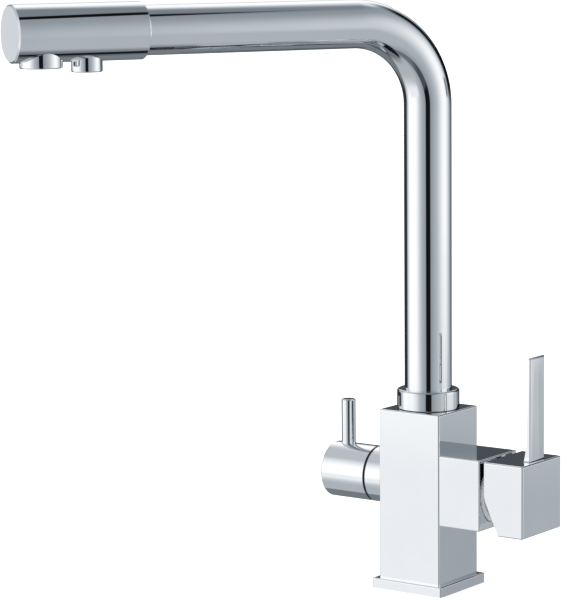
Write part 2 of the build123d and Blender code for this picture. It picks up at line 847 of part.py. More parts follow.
with BuildPart() as handle_block:
    with BuildSketch(front_view) as side_outline:
        with BuildLine():
            Polyline(
                (handle_start, handle_top),
                (handle_end, handle_top),
                (handle_end, handle_bottom),
                (handle_start + handle_cut_depth, handle_bottom),
                (handle_start, handle_centre),
                close=True,
            )
        make_face()
        waist = side_outline.vertices().group_by(Axis.X)[0].sort_by(Axis.Y)[0]
        fillet(waist, handle_cut_rounding)
    extrude(amount=handle_width / 2, both=True)
    outer_edges = handle_block.faces().sort_by(Axis.X)[-1].edges()
    outer_edges += handle_block.faces().sort_by(Axis.Z)[-1].edges().filter_by(Axis.X)
    outer_edges += handle_block.faces().sort_by(Axis.Z)[0].edges().filter_by(Axis.X)
    fillet(outer_edges, handle_rounding)
    # hollow behind, open toward the cartridge, with a boss round the stem
    cavity_end = handle_end - handle_end_wall
    with BuildSketch(mixer_plane(handle_start, 0.0, -handle_drop)):
        Rectangle(handle_width - 2 * handle_wall, handle_height - 2 * handle_wall)
        with Locations((0, handle_drop + handle_boss / 2 - handle_height / 2)):
            Rectangle(handle_boss, handle_height, mode=CUT)
    extrude(amount=cavity_end - handle_start, mode=CUT)
    with BuildSketch(mixer_plane(handle_start)):
        Rectangle(stem_square + 2 * fit, stem_square + 2 * fit)
    extrude(amount=stem_end + hole_play - handle_start, mode=CUT)
    drill(
        (screw_reach, 0, handle_bottom - handle_screw_inset),
        (screw_reach, 0, mixer_axis_height),
        handle_screw_radius,
    )
    tenon_end = handle_end - lever_inset - (lever_root - tenon_thickness) / 2
    tenon_centre = tenon_end - tenon_thickness / 2
    with BuildSketch(deck_plane(handle_top - tenon_depth - hole_play, tenon_centre)):
        Rectangle(tenon_thickness + 2 * fit, tenon_width + 2 * fit)
    extrude(amount=tenon_depth + hole_play, mode=CUT)
finish(handle_block, "handle_block")

with BuildPart() as handle_grub_screw:
    screw_top = mixer_axis_height - stem_square / 2 - fit
    screw_plane = deck_plane(screw_top - handle_screw_length, screw_reach)
    disc(screw_plane, handle_screw_radius - running, handle_screw_length)
    with BuildSketch(screw_plane):
        RegularPolygon(socket_radius, 6)
    extrude(amount=socket_depth, mode=CUT)
finish(handle_grub_screw, "handle_grub_screw")

lever_face = handle_end - lever_inset
lever_top = handle_top + lever_rise

with BuildPart() as handle_lever:
    with BuildSketch(front_view):
        with BuildLine():
            Line((lever_face, handle_top), (lever_face, lever_top))
            Line((lever_face, lever_top), (lever_face - lever_tip, lever_top))
            inner_edge = Line(
                (lever_face - lever_tip, lever_top),
                (lever_face - lever_middle, handle_top + lever_flare),
            )
            TangentArc(
                inner_edge @ 1, (lever_face - lever_root, handle_top), tangent=inner_edge % 1
            )
            Line((lever_face - lever_root, handle_top), (lever_face, handle_top))
        make_face()
    extrude(amount=lever_width / 2, both=True)
    with BuildSketch(deck_plane(handle_top - tenon_depth, tenon_centre)):
        Rectangle(tenon_thickness, tenon_width)
    extrude(amount=tenon_depth)
finish(handle_lever, "handle_lever")

# ================================================================ filter valve
with BuildPart() as filter_valve_neck:
    disc(
        filter_plane(body_half - neck_spigot_length),
        neck_spigot_radius - running,
        neck_spigot_length,
    )
    disc(filter_plane(body_half), neck_radius, neck_length)
    disc(
        filter_plane(body_half - neck_spigot_length),
        headwork_thread,
        neck_spigot_length + neck_length,
        CUT,
    )
    hex_seat = headwork_flange_start - hole_play
    disc(
        filter_plane(hex_seat),
        hexagon_corner + hexagon_play,
        neck_end - hex_seat,
        CUT,
    )
finish(filter_valve_neck, "filter_valve_neck")

with BuildPart() as headwork_body:
    skirt_end = body_half - neck_spigot_length
    disc(filter_plane(valve_disc_start), headwork_skirt, skirt_end - valve_disc_start)
    disc(
        filter_plane(skirt_end),
        headwork_thread - running,
        headwork_flange_start - skirt_end,
    )
    with BuildSketch(filter_plane(headwork_flange_start)):
        RegularPolygon(headwork_flats / 2, 6, major_radius=False)
    extrude(amount=headwork_flange)
    flange_end = headwork_flange_start + headwork_flange
    disc(
        filter_plane(flange_end),
        headwork_guide_radius,
        headwork_guide_end - flange_end,
    )
    disc(
        filter_plane(valve_disc_start),
        headwork_bore,
        valve_chamber_end - valve_disc_start,
        CUT,
    )
    disc(
        filter_plane(valve_chamber_end),
        spindle_radius + running,
        headwork_guide_end - valve_chamber_end,
        CUT,
    )
    # side windows that the water leaves through
    with BuildSketch(filter_plane(valve_moving_start)):
        Rectangle(2 * (headwork_skirt + fit), headwork_bore)
    extrude(amount=valve_disc_thickness - hole_play, mode=CUT)
    ring_seat = headwork_flange_start - headwork_ring_setback
    groove(
        filter_plane(ring_seat),
        headwork_thread,
        headwork_thread - fit - 2 * headwork_ring_section,
        2 * headwork_ring_section + hole_play,
    )
finish(headwork_body, "headwork_body")

with BuildPart() as headwork_o_ring:
    o_ring(
        filter_plane(ring_seat + headwork_ring_section + fit),
        headwork_thread - running - headwork_ring_section,
        headwork_ring_section,
    )
finish(headwork_o_ring, "headwork_o_ring")

with BuildPart() as headwork_seat_seal:
    tube(
        filter_plane(pocket_floor),
        seat_seal_radius,
        seat_seal_bore,
        seat_seal_height,
    )
finish(headwork_seat_seal, "headwork_seat_seal")


def cut_openings(reach, opening_end, turn):
    """Cut the two facing openings through a valve disc, turned about its axis."""
    middle = (valve_opening_start + opening_end) / 2
    with BuildSketch(filter_plane(reach)) as openings:
        with PolarLocations(middle, 2, start_angle=turn):
            Rectangle(opening_end - valve_opening_start, valve_opening_height)
    extrude(openings.sketch, amount=valve_disc_thickness, mode=CUT)


with BuildPart() as headwork_fixed_disc:
    disc(filter_plane(valve_disc_start), headwork_bore - fit, valve_disc_thickness)
    cut_openings(valve_disc_start, fixed_opening_end, 0)
finish(headwork_fixed_disc, "headwork_fixed_disc")

with BuildPart() as headwork_moving_disc:
    disc(filter_plane(valve_moving_start), headwork_bore - hole_play, valve_disc_thickness)
    # open at the rim, so that water leaves through the headwork's side windows
    cut_openings(valve_moving_start, headwork_bore, moving_disc_turn)
finish(headwork_moving_disc, "headwork_moving_disc")

with BuildPart() as headwork_spindle:
    disc(filter_plane(valve_foot_start), headwork_bore - hole_play, valve_foot_thickness)
    disc(
        filter_plane(valve_foot_start),
        spindle_radius,
        spindle_end - valve_foot_start,
    )
    groove(
        filter_plane(headwork_guide_end + fit),
        spindle_radius,
        spindle_radius - clip_groove_depth,
        clip_thickness + fit,
    )
finish(headwork_spindle, "headwork_spindle")

with BuildPart() as spindle_clip:
    clip_plane = filter_plane(headwork_guide_end + fit + fit / 2)
    clip_bore = spindle_radius - clip_groove_depth + running
    tube(clip_plane, clip_radius, clip_bore, clip_thickness)
    with BuildSketch(clip_plane):
        with Locations((0, -clip_radius)):
            Rectangle(clip_mouth, 2 * clip_radius)
    extrude(amount=clip_thickness, mode=CUT)
finish(spindle_clip, "spindle_clip")

with BuildPart() as filter_knob_ring:
    ring_bore = hexagon_corner + hole_play
    ring_spigot_radius = hexagon_corner + hexagon_play - running
    disc(filter_plane(neck_end), neck_radius - knob_ring_step, knob_gap - 2 * fit)
    disc(filter_plane(neck_end - knob_ring_spigot), ring_spigot_radius, knob_ring_spigot)
    disc(
        filter_plane(neck_end - knob_ring_spigot),
        ring_bore,
        knob_ring_spigot + knob_gap,
        CUT,
    )
finish(filter_knob_ring, "filter_knob_ring")

with BuildPart() as filter_knob:
    disc(filter_plane(knob_start), neck_radius, knob_length)
    fillet(filter_knob.faces().sort_by(Axis.X)[0].edges(), knob_rounding)
    disc(filter_plane(knob_start), neck_radius - knob_wall, knob_cavity_depth, CUT)
    disc(
        filter_plane(knob_start),
        spindle_radius + running,
        spindle_end + hole_play - knob_start,
        CUT,
    )
    # seat for the pin above, tapped hole for the grub screw below
    disc(knob_radial(pin_reach, pin_seat), pin_radius + running, neck_radius, CUT)
    disc(
        knob_radial(pin_reach, pin_stub_start),
        pin_stub_radius + running,
        pin_seat - pin_stub_start,
        CUT,
    )
    disc(knob_radial(knob_screw_reach, 0.0, -1), knob_screw_radius, neck_radius, CUT)
finish(filter_knob, "filter_knob")

with BuildPart() as filter_pin_lever:
    pin_length = pin_top - filter_axis_height - pin_seat
    disc(knob_radial(pin_reach, pin_seat), pin_radius, pin_length)
    chamfer(filter_pin_lever.faces().sort_by(Axis.Z)[-1].edges(), pin_bevel)
    disc(
        knob_radial(pin_reach, pin_stub_start + fit),
        pin_stub_radius,
        pin_seat - pin_stub_start - fit,
    )
finish(filter_pin_lever, "filter_pin_lever")

with BuildPart() as filter_knob_grub_screw:
    screw_plane = knob_radial(knob_screw_reach, spindle_radius + fit, -1)
    disc(screw_plane, knob_screw_radius - running, knob_screw_length)
    with BuildSketch(screw_plane.offset(knob_screw_length - knob_socket_depth)):
        RegularPolygon(knob_socket_radius, 6)
    extrude(amount=knob_socket_depth, mode=CUT)
finish(filter_knob_grub_screw, "filter_knob_grub_screw")

# ================================================================ spout
riser_top = arm_height - bend_radius
arm_view = Plane(
    origin=(0, 0, 0), x_dir=arm_direction, z_dir=arm_direction.cross(Vector(0, 0, 1))
)


def swept_tube(outer, inner, bottom, end_reach):
    """Tube up the riser, round the bend and along the arm."""
    with BuildPart() as swept:
        with BuildLine(arm_view):
            riser = Line((0, bottom), (0, riser_top))
            bend = JernArc(riser @ 1, riser % 1, bend_radius, -90)
            Line(bend @ 1, (end_reach, arm_height))
        with BuildSketch(deck_plane(bottom)):
            Circle(outer)
            Circle(inner, mode=CUT)
        sweep()
    return swept


finish(
    swept_tube(tube_radius, tube_radius - tube_wall, tube_bottom, tube_end), "spout_tube"
)
finish(
    swept_tube(
        inner_tube_radius,
        inner_tube_bore,
        inner_tube_bottom,
        divider_start + inner_tube_insertion,
    ),
    "filtered_water_tube",
)

with BuildPart() as spout_collar:
    tube(
        deck_plane(collar_bottom),
        collar_radius,
        tube_radius + running,
        body_top + collar_height - collar_bottom,
    )
    collar_lip = spout_collar.faces().sort_by(Axis.Z)[-1].edges().sort_by(SortBy.RADIUS)[-1]
    fillet(collar_lip, collar_rounding)
finish(spout_collar, "spout_collar")

with BuildPart() as spout_spigot:
    spigot_journal = journal_radius - running
    disc(deck_plane(spigot_bottom), spigot_journal, spigot_flange_bottom - spigot_bottom)
    disc(deck_plane(spigot_flange_bottom), tube_radius - fit, spigot_flange_height)
    disc(deck_plane(tube_bottom), tube_radius - tube_wall - fit, spigot_plug_length)
    disc(
        deck_plane(spigot_bottom),
        spigot_bore,
        tube_bottom + spigot_plug_length - spigot_bottom,
        CUT,
    )
    for ring_height in spout_ring_heights:
        groove(
            deck_plane(ring_height - ring_groove_width / 2),
            journal_radius,
            spigot_journal - ring_groove_depth,
            ring_groove_width,
        )
    groove(
        deck_plane(retaining_height - retaining_groove_width / 2),
        journal_radius,
        journal_radius - retaining_groove_depth,
        retaining_groove_width,
    )
finish(spout_spigot, "spout_spigot")

with BuildPart() as spout_o_rings:
    ring_section = (ring_groove_depth - fit) / 2
    for ring_height in spout_ring_heights:
        o_ring(deck_plane(ring_height), spigot_journal - ring_section, ring_section)
finish(spout_o_rings, "spout_o_rings")

# ================================================================ outlet head
with BuildPart() as outlet_head:
    disc(arm_plane(head_start), head_radius, cap_seat - head_start)
    start_face = outlet_head.faces().sort_by(Axis(arm_point(0), arm_direction))[0]
    fillet(start_face.edges(), head_bevel)
    disc(arm_plane(head_start), head_bore, cap_seat - head_start, CUT)
    disc(
        outlet_plane(main_outlet_reach, 0.0), main_outlet_radius + fit, head_radius, CUT
    )
    disc(
        outlet_plane(filtered_outlet_reach, 0.0),
        filtered_outlet_radius + fit,
        head_radius,
        CUT,
    )
finish(outlet_head, "outlet_head")

with BuildPart() as head_end_cap:
    disc(arm_plane(cap_seat), head_radius, end_cap_thickness)
    cap_face = head_end_cap.faces().sort_by(Axis(arm_point(0), arm_direction))[-1]
    chamfer(cap_face.edges(), head_bevel)
    disc(arm_plane(cap_seat - end_cap_plug), head_bore - running, end_cap_plug)
finish(head_end_cap, "head_end_cap")

divider_radius = head_bore - fit
# one ring behind the tube's end, one halfway between the two outlets
between_outlets = (
    main_outlet_reach - main_outlet_radius + filtered_outlet_reach + filtered_outlet_radius
) / 2
divider_rings = (divider_start + divider_ring_inset, between_outlets)

with BuildPart() as water_divider:
    disc(arm_plane(divider_start), divider_radius, divider_end - divider_start)
    # channels for mixed water over the filtered outlet, then down to the main one
    for channel_angle in channel_angles:
        turn = math.radians(channel_angle)
        offset = arm_side * (channel_offset * math.cos(turn))
        offset += Vector(0, 0, channel_offset * math.sin(turn))
        drill(
            arm_point(divider_start) + offset,
            arm_point(main_outlet_reach) + offset,
            channel_radius,
        )
    disc(
        outlet_plane(main_outlet_reach, -main_chamber_rise),
        main_chamber_radius,
        main_chamber_rise + main_pocket_drop,
        CUT,
    )
    disc(
        outlet_plane(main_outlet_reach, main_pocket_drop),
        main_outlet_radius + running,
        divider_radius,
        CUT,
    )
    # filtered water: socket for the inner tube, then down to its own outlet
    disc(
        arm_plane(divider_start),
        inner_tube_radius + running,
        inner_tube_insertion + hole_play,
        CUT,
    )
    drill(
        arm_point(divider_start),
        arm_point(filtered_outlet_reach + filtered_way_radius),
        filtered_way_radius,
    )
    drill(
        arm_point(filtered_outlet_reach),
        arm_point(filtered_outlet_reach, -filtered_pocket_drop),
        filtered_drop_radius,
    )
    disc(
        outlet_plane(filtered_outlet_reach, filtered_pocket_drop),
        filtered_outlet_radius + running,
        divider_radius,
        CUT,
    )
    for ring_reach in divider_rings:
        groove(
            arm_plane(ring_reach - divider_ring_section - fit),
            divider_radius + fit,
            divider_radius - 2 * divider_ring_section - fit,
            2 * (divider_ring_section + fit),
        )
finish(water_divider, "water_divider")

with BuildPart() as divider_o_rings:
    for ring_reach in divider_rings:
        o_ring(
            arm_plane(ring_reach),
            divider_radius - divider_ring_section,
            divider_ring_section,
        )
finish(divider_o_rings, "divider_o_rings")


def outlet_housing(reach, radius, top_drop, bottom_drop, rounding):
    """Outlet ring with a lip at its lower edge that carries the insert."""
    with BuildPart() as housing:
        disc(outlet_plane(reach, top_drop), radius, bottom_drop - top_drop)
        fillet(housing.faces().sort_by(Axis.Z)[0].edges(), rounding)
        disc(
            outlet_plane(reach, top_drop),
            radius - outlet_wall,
            bottom_drop - top_drop - outlet_lip_height,
            CUT,
        )
        disc(
            outlet_plane(reach, top_drop),
            radius - outlet_wall - outlet_lip,
            bottom_drop - top_drop,
            CUT,
        )
    return housing


def outlet_insert(reach, radius, top_drop, bottom_drop, circles):
    """Round insert with rings of jet holes."""
    with BuildPart() as insert:
        start = outlet_plane(reach, top_drop + outlet_seal_height)
        length = bottom_drop - outlet_lip_height - top_drop - outlet_seal_height
        disc(start, radius - outlet_wall - fit, length)
        disc(start, jet_hole_radius, length, CUT)
        for circle_radius, hole_count in circles:
            with Locations(start):
                with PolarLocations(circle_radius, hole_count):
                    Cylinder(jet_hole_radius, length, align=FROM_FACE, mode=CUT)
    return insert


def outlet_seal(reach, radius, top_drop):
    """Flat seal between the insert and the divider."""
    with BuildPart() as seal:
        tube(
            outlet_plane(reach, top_drop),
            radius - outlet_wall - fit,
            radius - outlet_wall - outlet_seal_reach,
            outlet_seal_height,
        )
    return seal


main_outlet = (main_outlet_reach, main_outlet_radius, main_pocket_drop)
filtered_outlet = (filtered_outlet_reach, filtered_outlet_radius, filtered_pocket_drop)

finish(outlet_housing(*main_outlet, main_outlet_drop, outlet_rounding), "main_aerator_housing")
finish(outlet_insert(*main_outlet, main_outlet_drop, main_jets), "main_aerator_insert")
finish(outlet_seal(*main_outlet), "main_aerator_seal")
finish(
    outlet_housing(*filtered_outlet, filtered_outlet_drop, outlet_rounding),
    "filtered_outlet_housing",
)
finish(
    outlet_insert(*filtered_outlet, filtered_outlet_drop, filtered_jets),
    "filtered_outlet_insert",
)
finish(outlet_seal(*filtered_outlet), "filtered_outlet_seal")
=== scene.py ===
# %% [markdown]
# # A three way filtered water tap, finished in chrome
#
# The tap is packed already: every solid of it has a name, a place and a body that it moves with. This
# lesson gives it its looks. A chrome tap has almost no colour of its own, so the work is in two places:
# surfaces smooth enough to carry a reflection, and a studio that is worth reflecting.

# %% Load the packed tap
import json

import bpy
import numpy as np
from mathutils import Matrix


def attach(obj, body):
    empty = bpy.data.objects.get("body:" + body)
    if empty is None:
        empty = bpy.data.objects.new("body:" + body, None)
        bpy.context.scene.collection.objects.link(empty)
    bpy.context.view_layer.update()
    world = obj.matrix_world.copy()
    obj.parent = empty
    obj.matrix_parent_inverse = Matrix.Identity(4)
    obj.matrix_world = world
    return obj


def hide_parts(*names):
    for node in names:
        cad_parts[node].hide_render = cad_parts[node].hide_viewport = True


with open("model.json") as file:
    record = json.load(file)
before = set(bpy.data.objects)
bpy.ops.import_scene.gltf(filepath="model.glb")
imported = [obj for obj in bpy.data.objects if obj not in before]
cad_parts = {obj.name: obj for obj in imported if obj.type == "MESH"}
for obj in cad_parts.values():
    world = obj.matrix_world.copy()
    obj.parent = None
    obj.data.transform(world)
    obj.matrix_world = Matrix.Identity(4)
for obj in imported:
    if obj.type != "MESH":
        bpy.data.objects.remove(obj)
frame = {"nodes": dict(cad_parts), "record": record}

MM = 0.001                              # a millimetre, in metres
MICRON = 0.000001                       # a thousandth of a millimetre, in metres
UP = np.array([0.0, 0.0, 1.0])
cad = frame["nodes"]
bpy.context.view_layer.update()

# %% [markdown]
# ## The camera
#
# The photograph was taken from the mixer's side of the front, a little above the worktop, with a long lens.
# A camera can be aimed by eye, but then a comparison with the photograph says little. So this one has the
# place and the focal length that fit the edges in the photograph, and its axes come from three turns: about
# the vertical, then down, then a small roll.

# %% Camera
TURN, DOWN, ROLL = np.radians([36.106, 7.975, -0.533])
EYE = np.array([0.920566, -1.409818, 0.408278])
FOCAL_PIXELS = 2879.06
LONG_SIDE = 600                         # pixels along the photograph's long side
SENSOR = 36.0                           # mm
NEAREST, FARTHEST = 0.05, 60.0          # metres, the camera sees what lies between them


def camera_axes(turn, down, roll):
    """Right, up and forward vectors. forward = (-sin t cos d, cos t cos d, -sin d),
    right = (cos t, sin t, 0) and up = right x forward. Right and up then turn by the roll about forward."""
    forward = np.array([-np.sin(turn) * np.cos(down), np.cos(turn) * np.cos(down), -np.sin(down)])
    right = np.array([np.cos(turn), np.sin(turn), 0.0])
    up = np.cross(right, forward)
    return right * np.cos(roll) + up * np.sin(roll), up * np.cos(roll) - right * np.sin(roll), forward


def placement(right, up, back, place):
    """World matrix of an object with these three axes at this place: one column each."""
    columns = np.eye(4)
    columns[:3, :] = np.stack([right, up, back, place], axis=1)
    return Matrix(columns.tolist())


camera_data = bpy.data.cameras.new("photo_camera")
camera_data.sensor_width = SENSOR
camera_data.lens = FOCAL_PIXELS * SENSOR / LONG_SIDE
camera_data.clip_start = NEAREST
camera_data.clip_end = FARTHEST
camera = bpy.data.objects.new("photo_camera", camera_data)
bpy.context.scene.collection.objects.link(camera)
bpy.context.scene.camera = camera
rightward, upward, ahead = camera_axes(TURN, DOWN, ROLL)
camera.matrix_world = placement(rightward, upward, -ahead, EYE)
print(f"lens {camera_data.lens:.1f} mm, {np.linalg.norm(EYE[:2]):.2f} m from the tap's axis")

# %% [markdown]
# ## Shader maths as Python
#
# A node tree is hard to read as a list of links. `Wire` holds one output socket and adds a Math node for
# each operator, so that a mask is written as it would be on paper. Its method `node` makes any other node:
# the settings first, then the values or wires of its sockets.

# %% The Wire class
COOL_SHADE = (0.74, 0.87, 1.0)          # what white turns to as it gets dark in the studio
WHITE = (1.0, 1.0, 1.0)


class Wire:
    """One output socket of a node tree, or the empty start of a tree, for use in an expression."""

    def __init__(self, tree, socket=None):
        self.tree, self.socket = tree, socket

    def node(self, kind, settings=None, sockets=None, out=0):
        """Adds a node, sets its settings, and gives its sockets their values or wires."""
        made = self.tree.nodes.new("ShaderNode" + kind)
        for name, value in (settings or {}).items():
            setattr(made, name, value)
        for name, value in (sockets or {}).items():
            if isinstance(value, Wire):
                self.tree.links.new(value.socket, made.inputs[name])
            else:
                made.inputs[name].default_value = value
        return Wire(self.tree, made.outputs[out] if len(made.outputs) else None)

    def maths(self, operation, first, second=0.0):
        """Adds a Math node for two values or wires."""
        return self.node("Math", {"operation": operation}, {0: first, 1: second})

    def __add__(self, other):
        return self.maths("ADD", self, other)

    def __sub__(self, other):
        return self.maths("SUBTRACT", self, other)

    def __mul__(self, other):
        return self.maths("MULTIPLY", self, other)

    def __truediv__(self, other):
        return self.maths("DIVIDE", self, other)

    def __rsub__(self, other):
        return self.maths("SUBTRACT", other, self)

    def __neg__(self):
        return self.maths("MULTIPLY", self, -1.0)

    __radd__, __rmul__ = __add__, __mul__

    def rise(self, start, end):
        """0 at start, 1 at end, with a smooth step between them. start may be the larger one."""
        low, high = min(start, end), max(start, end)
        ends = {
            "From Min": low, "From Max": high,
            "To Min": float(start > end), "To Max": float(start < end),
        }
        return self.node("MapRange", {"interpolation_type": "SMOOTHSTEP"}, {"Value": self, **ends})

    def between(self, low, high, soft_low, soft_high):
        """1 between low and high, with a smooth edge outside each."""
        return self.rise(low - soft_low, low) * self.rise(high + soft_high, high)

    def blend(self, other, mask):
        """This value where the mask is 0, the other where it is 1: this + (other - this) x mask."""
        return self + (other - self) * mask

    def tint(self, dark, light):
        """A colour from dark at 0 to light at 1. A Mix node has colours at sockets 6 and 7 and output 2."""
        colours = {0: self, 6: (*dark, 1), 7: (*light, 1)}
        return self.node("Mix", {"data_type": "RGBA"}, colours, out=2)

    def cool(self):
        """A grey of this value, bluer as it gets darker: value x (the cool shade at 0, white at 1)."""
        return self.node("VectorMath", {"operation": "SCALE"}, {0: self.tint(COOL_SHADE, WHITE), 3: self})

    def spot(self):
        """The place in metres from the origin of the object that has the material."""
        return self.node("TexCoord", out=3)

    def part(self, direction):
        """How much of a vector lies along a unit direction: their dot product."""
        return self.node("VectorMath", {"operation": "DOT_PRODUCT"}, {0: self, 1: direction}, out=1)


def new_material(name):
    """An empty node material and the start of its tree."""
    material = bpy.data.materials.new(name)
    material.use_nodes = True
    material.node_tree.nodes.clear()
    return material, Wire(material.node_tree)


print("Wire has", ", ".join(name for name in vars(Wire) if not name.startswith("_")))

# %% [markdown]
# ## Surfaces from arrays
#
# Every new piece is a grid of points that a formula gives all at once. A modifier stack could make some of
# them, but an array of points can be checked, and its faces can be as small as the chrome needs. One helper
# makes the mesh: it joins the last line of a closed direction to the first, makes one point of a row that
# lies on the turning axis, and turns the faces outward, which it knows from the sign of the volume that
# they enclose.

# %% Grid to mesh


def grid_mesh(name, grid, ring_rows=False):
    """Smooth mesh of a (rows, columns, 3) grid in mm. Columns always close on themselves, and rows do when
    ring_rows is set. Otherwise the first and last row are single points on the axis. Volume = sum of
    a . (b x c) / 6 over the triangles, and a negative one means that the faces have to be turned round."""
    rows, columns = grid.shape[:2]
    number = np.arange(rows * columns).reshape(rows, columns)
    if not ring_rows:
        number[0], number[-1] = number[0, 0], number[-1, 0]
    here, after = (number, np.roll(number, -1, 0)) if ring_rows else (number[:-1], number[1:])
    quads = np.stack([here, after, np.roll(after, -1, 1), np.roll(here, -1, 1)], -1)
    body, caps = quads, np.zeros((0, 3), int)
    if not ring_rows:
        body, caps = quads[1:-1], np.concatenate([quads[0][:, [0, 1, 2]], quads[-1][:, [0, 1, 3]]])
    used, position = np.unique(np.concatenate([body.reshape(-1), caps.reshape(-1)]), return_inverse=True)
    points = grid.reshape(-1, 3)[used] * MM
    body, caps = position[:body.size].reshape(-1, 4), position[body.size:].reshape(-1, 3)
    triangles = np.concatenate([body[:, :3], body[:, [0, 2, 3]], caps])
    a, b, c = (points[triangles[:, corner]] for corner in range(3))
    if np.einsum("ij,ij->", a, np.cross(b, c)) < 0:
        body, caps = body[:, ::-1], caps[:, ::-1]
    mesh = bpy.data.meshes.new(name)
    mesh.from_pydata(points.tolist(), [], body.tolist() + caps.tolist())
    mesh.polygons.foreach_set("use_smooth", np.full(len(mesh.polygons), True))
    mesh.update()
    made = bpy.data.objects.new(name, mesh)
    bpy.context.scene.collection.objects.link(made)
    return made


print("grid_mesh: one mesh from a grid of points")

# %% [markdown]
# ### Profiles for the lathe
#
# A turned piece starts as the outline of half its section. No real edge is sharp, and on chrome it is the
# rounded edge that catches the light, so the outline's corners are replaced by arcs before it is carried
# round the axis. Blender's Bevel modifier could round the mesh later, but it can't give each edge its own
# arc so simply.

# %% Outline, ring profile and lathe
FLAT_START = 0.05                       # mm, from an arc's end to the next point of the flat


def outline(corners, radii, ring=True, steps=10):
    """Rounds the corners of a profile in mm. With unit vectors p and q to the neighbours and half angle h
    between them, the arc's centre is at corner + (p+q)/|p+q| * r/sin h, and the arc turns evenly between its
    two tangent points. One more point on each flat, just off the arc, keeps the flat's shading level."""
    corners, radii = np.array(corners, float), np.array(radii, float)
    inner = slice(None) if ring else slice(1, -1)
    back = (np.roll(corners, 1, 0) - corners)[inner]
    on = (np.roll(corners, -1, 0) - corners)[inner]
    at, r = corners[inner], radii[inner][:, None]
    p = back / np.linalg.norm(back, axis=1)[:, None]
    q = on / np.linalg.norm(on, axis=1)[:, None]
    half = np.arccos(np.clip((p * q).sum(1), -1, 1))[:, None] / 2
    reach = r / np.tan(half)
    centre = at + (p + q) / np.linalg.norm(p + q, axis=1)[:, None] * r / np.sin(half)
    start, end = (at + p * reach - centre) / r, (at + q * reach - centre) / r
    sweep = (np.pi - 2 * half)[:, :, None]
    t = np.linspace(0, 1, steps)[None, :, None]
    arc = (np.sin((1 - t) * sweep) * start[:, None] + np.sin(t * sweep) * end[:, None]) / np.sin(sweep)
    arc = centre[:, None] + arc * r[:, :, None]
    before, beyond = at + p * (reach + FLAT_START), at + q * (reach + FLAT_START)
    rows = np.concatenate([before[:, None], arc, beyond[:, None]], 1).reshape(-1, 2)
    return rows if ring else np.concatenate([corners[:1], rows, corners[-1:]])


def ring_profile(inner, outer, low, high, radii, steps):
    """Section of a plain ring: a rectangle in (radius, length). Its corners are rounded in this order: inner
    low, outer low, outer high, inner high."""
    return outline([(inner, low), (outer, low), (outer, high), (inner, high)], radii, steps=steps)


def turned(name, profile, foot, along, spokes=96, ring=True):
    """Turned piece: the profile's (radius, length) in mm is carried round the axis. A point is
    foot + along * length + radius * (across cos a + third sin a)."""
    along = np.array(along, float) / np.linalg.norm(along)
    helper = [0.0, 1.0, 0.0] if abs(along[1]) < 0.9 else [1.0, 0.0, 0.0]
    across = np.cross(along, helper)
    across /= np.linalg.norm(across)
    a = np.linspace(0, 2 * np.pi, spokes, endpoint=False)[:, None]
    spoke = across * np.cos(a) + np.cross(along, across) * np.sin(a)
    grid = np.array(foot, float) + along * profile[:, 1, None, None] + spoke * profile[:, 0, None, None]
    return grid_mesh(name, grid, ring)


print("helpers: outline, ring_profile, turned")

# %% [markdown]
# ## The studio
#
# Chrome shows the whole room, so a photographer puts it in a tent of white fabric. A picture of a studio
# wrapped round the scene would do, but nobody could move its lights. Here the tent is a sphere that only
# reflections see, and its glow is a formula of the direction. Softboxes stand to the left and right and
# high at the back, with a white board low on the left, and a few small cards, dark patches low down and
# the tap's painted shade on the table. A dark gap lies low behind, a black card hides the camera, and a
# thin black beam runs from overhead toward it. Their places follow from the law of reflection: each edge
# of light on the round tube shows where one of them begins.

# %% Panels of the tent
# Each has its tone, from 0 for black to 1 for white, and its azimuth and height in degrees. Azimuth is 0
# toward the camera and grows to its right. A range is low, high, soft edge below it and soft edge above it.
LIGHT_PANELS = {
    "left softbox": (0.99, (-98, -68, 26, 42), (-7, 12, 38, 48)),
    "right softbox": (0.95, (84, 86, 56, 46), (-2, 8, 22, 50)),
    "white board, low on the left": (0.84, (-82, -50, 8, 16), (-20, -14, 12, 5)),
}
PATCHES = {
    "black cloth, behind on the right": (0.004, (130, 164, 18, 8), (6, 42, 8, 12)),
    # two near-black patches steeply below, close round the tap's foot
    "dark patch steeply below, in front of the foot": (0.008, (-34, 38, 8, 8), (-83, -67, 3, 4)),
    "dark patch steeply below, behind on the right": (0.012, (104, 138, 8, 9), (-76, -59, 2, 3)),
    "grey cloth, high behind on the left": (0.52, (-150, -96, 16, 14), (40, 70, 12, 15)),
    "pale card, behind on the left": (0.67, (-136, -120, 3, 3), (2, 12, 1, 4)),
    "grey card, behind on the right": (0.25, (103, 112, 5, 5), (4, 9, 2, 2)),
}


def lay_panels(glow, azimuth, height, panels):
    """The glow with the panels laid over it, one after another."""
    for tone, azimuth_range, height_range in panels.values():
        glow = glow.blend(tone, azimuth.between(*azimuth_range) * height.between(*height_range))
    return glow


print(len(LIGHT_PANELS), "light panels and", len(PATCHES), "patches")

# %% [markdown]
# The rest of the tent isn't plain panels. Its cloth gets dimmer overhead and round the camera, the gap
# behind has one edge with a step in it, and the card and the table behind the tap change tone with height.
# On the table that tone is painted shade from the tap.
# The beam is straight, so it isn't a range of angle: on a level ceiling, a straight line toward the camera
# keeps one ratio of right to up. Boards could be modelled in all these places, but a mask with soft edges
# is easier to move.

# %% Tent light
TENT_CENTRE = (0.0, 0.0, 0.15)          # metres
TENT_RADIUS = 2000.0                    # mm
TENT_ROWS = 65
TENT_STRENGTH = 1.08
DEGREES = 180 / np.pi


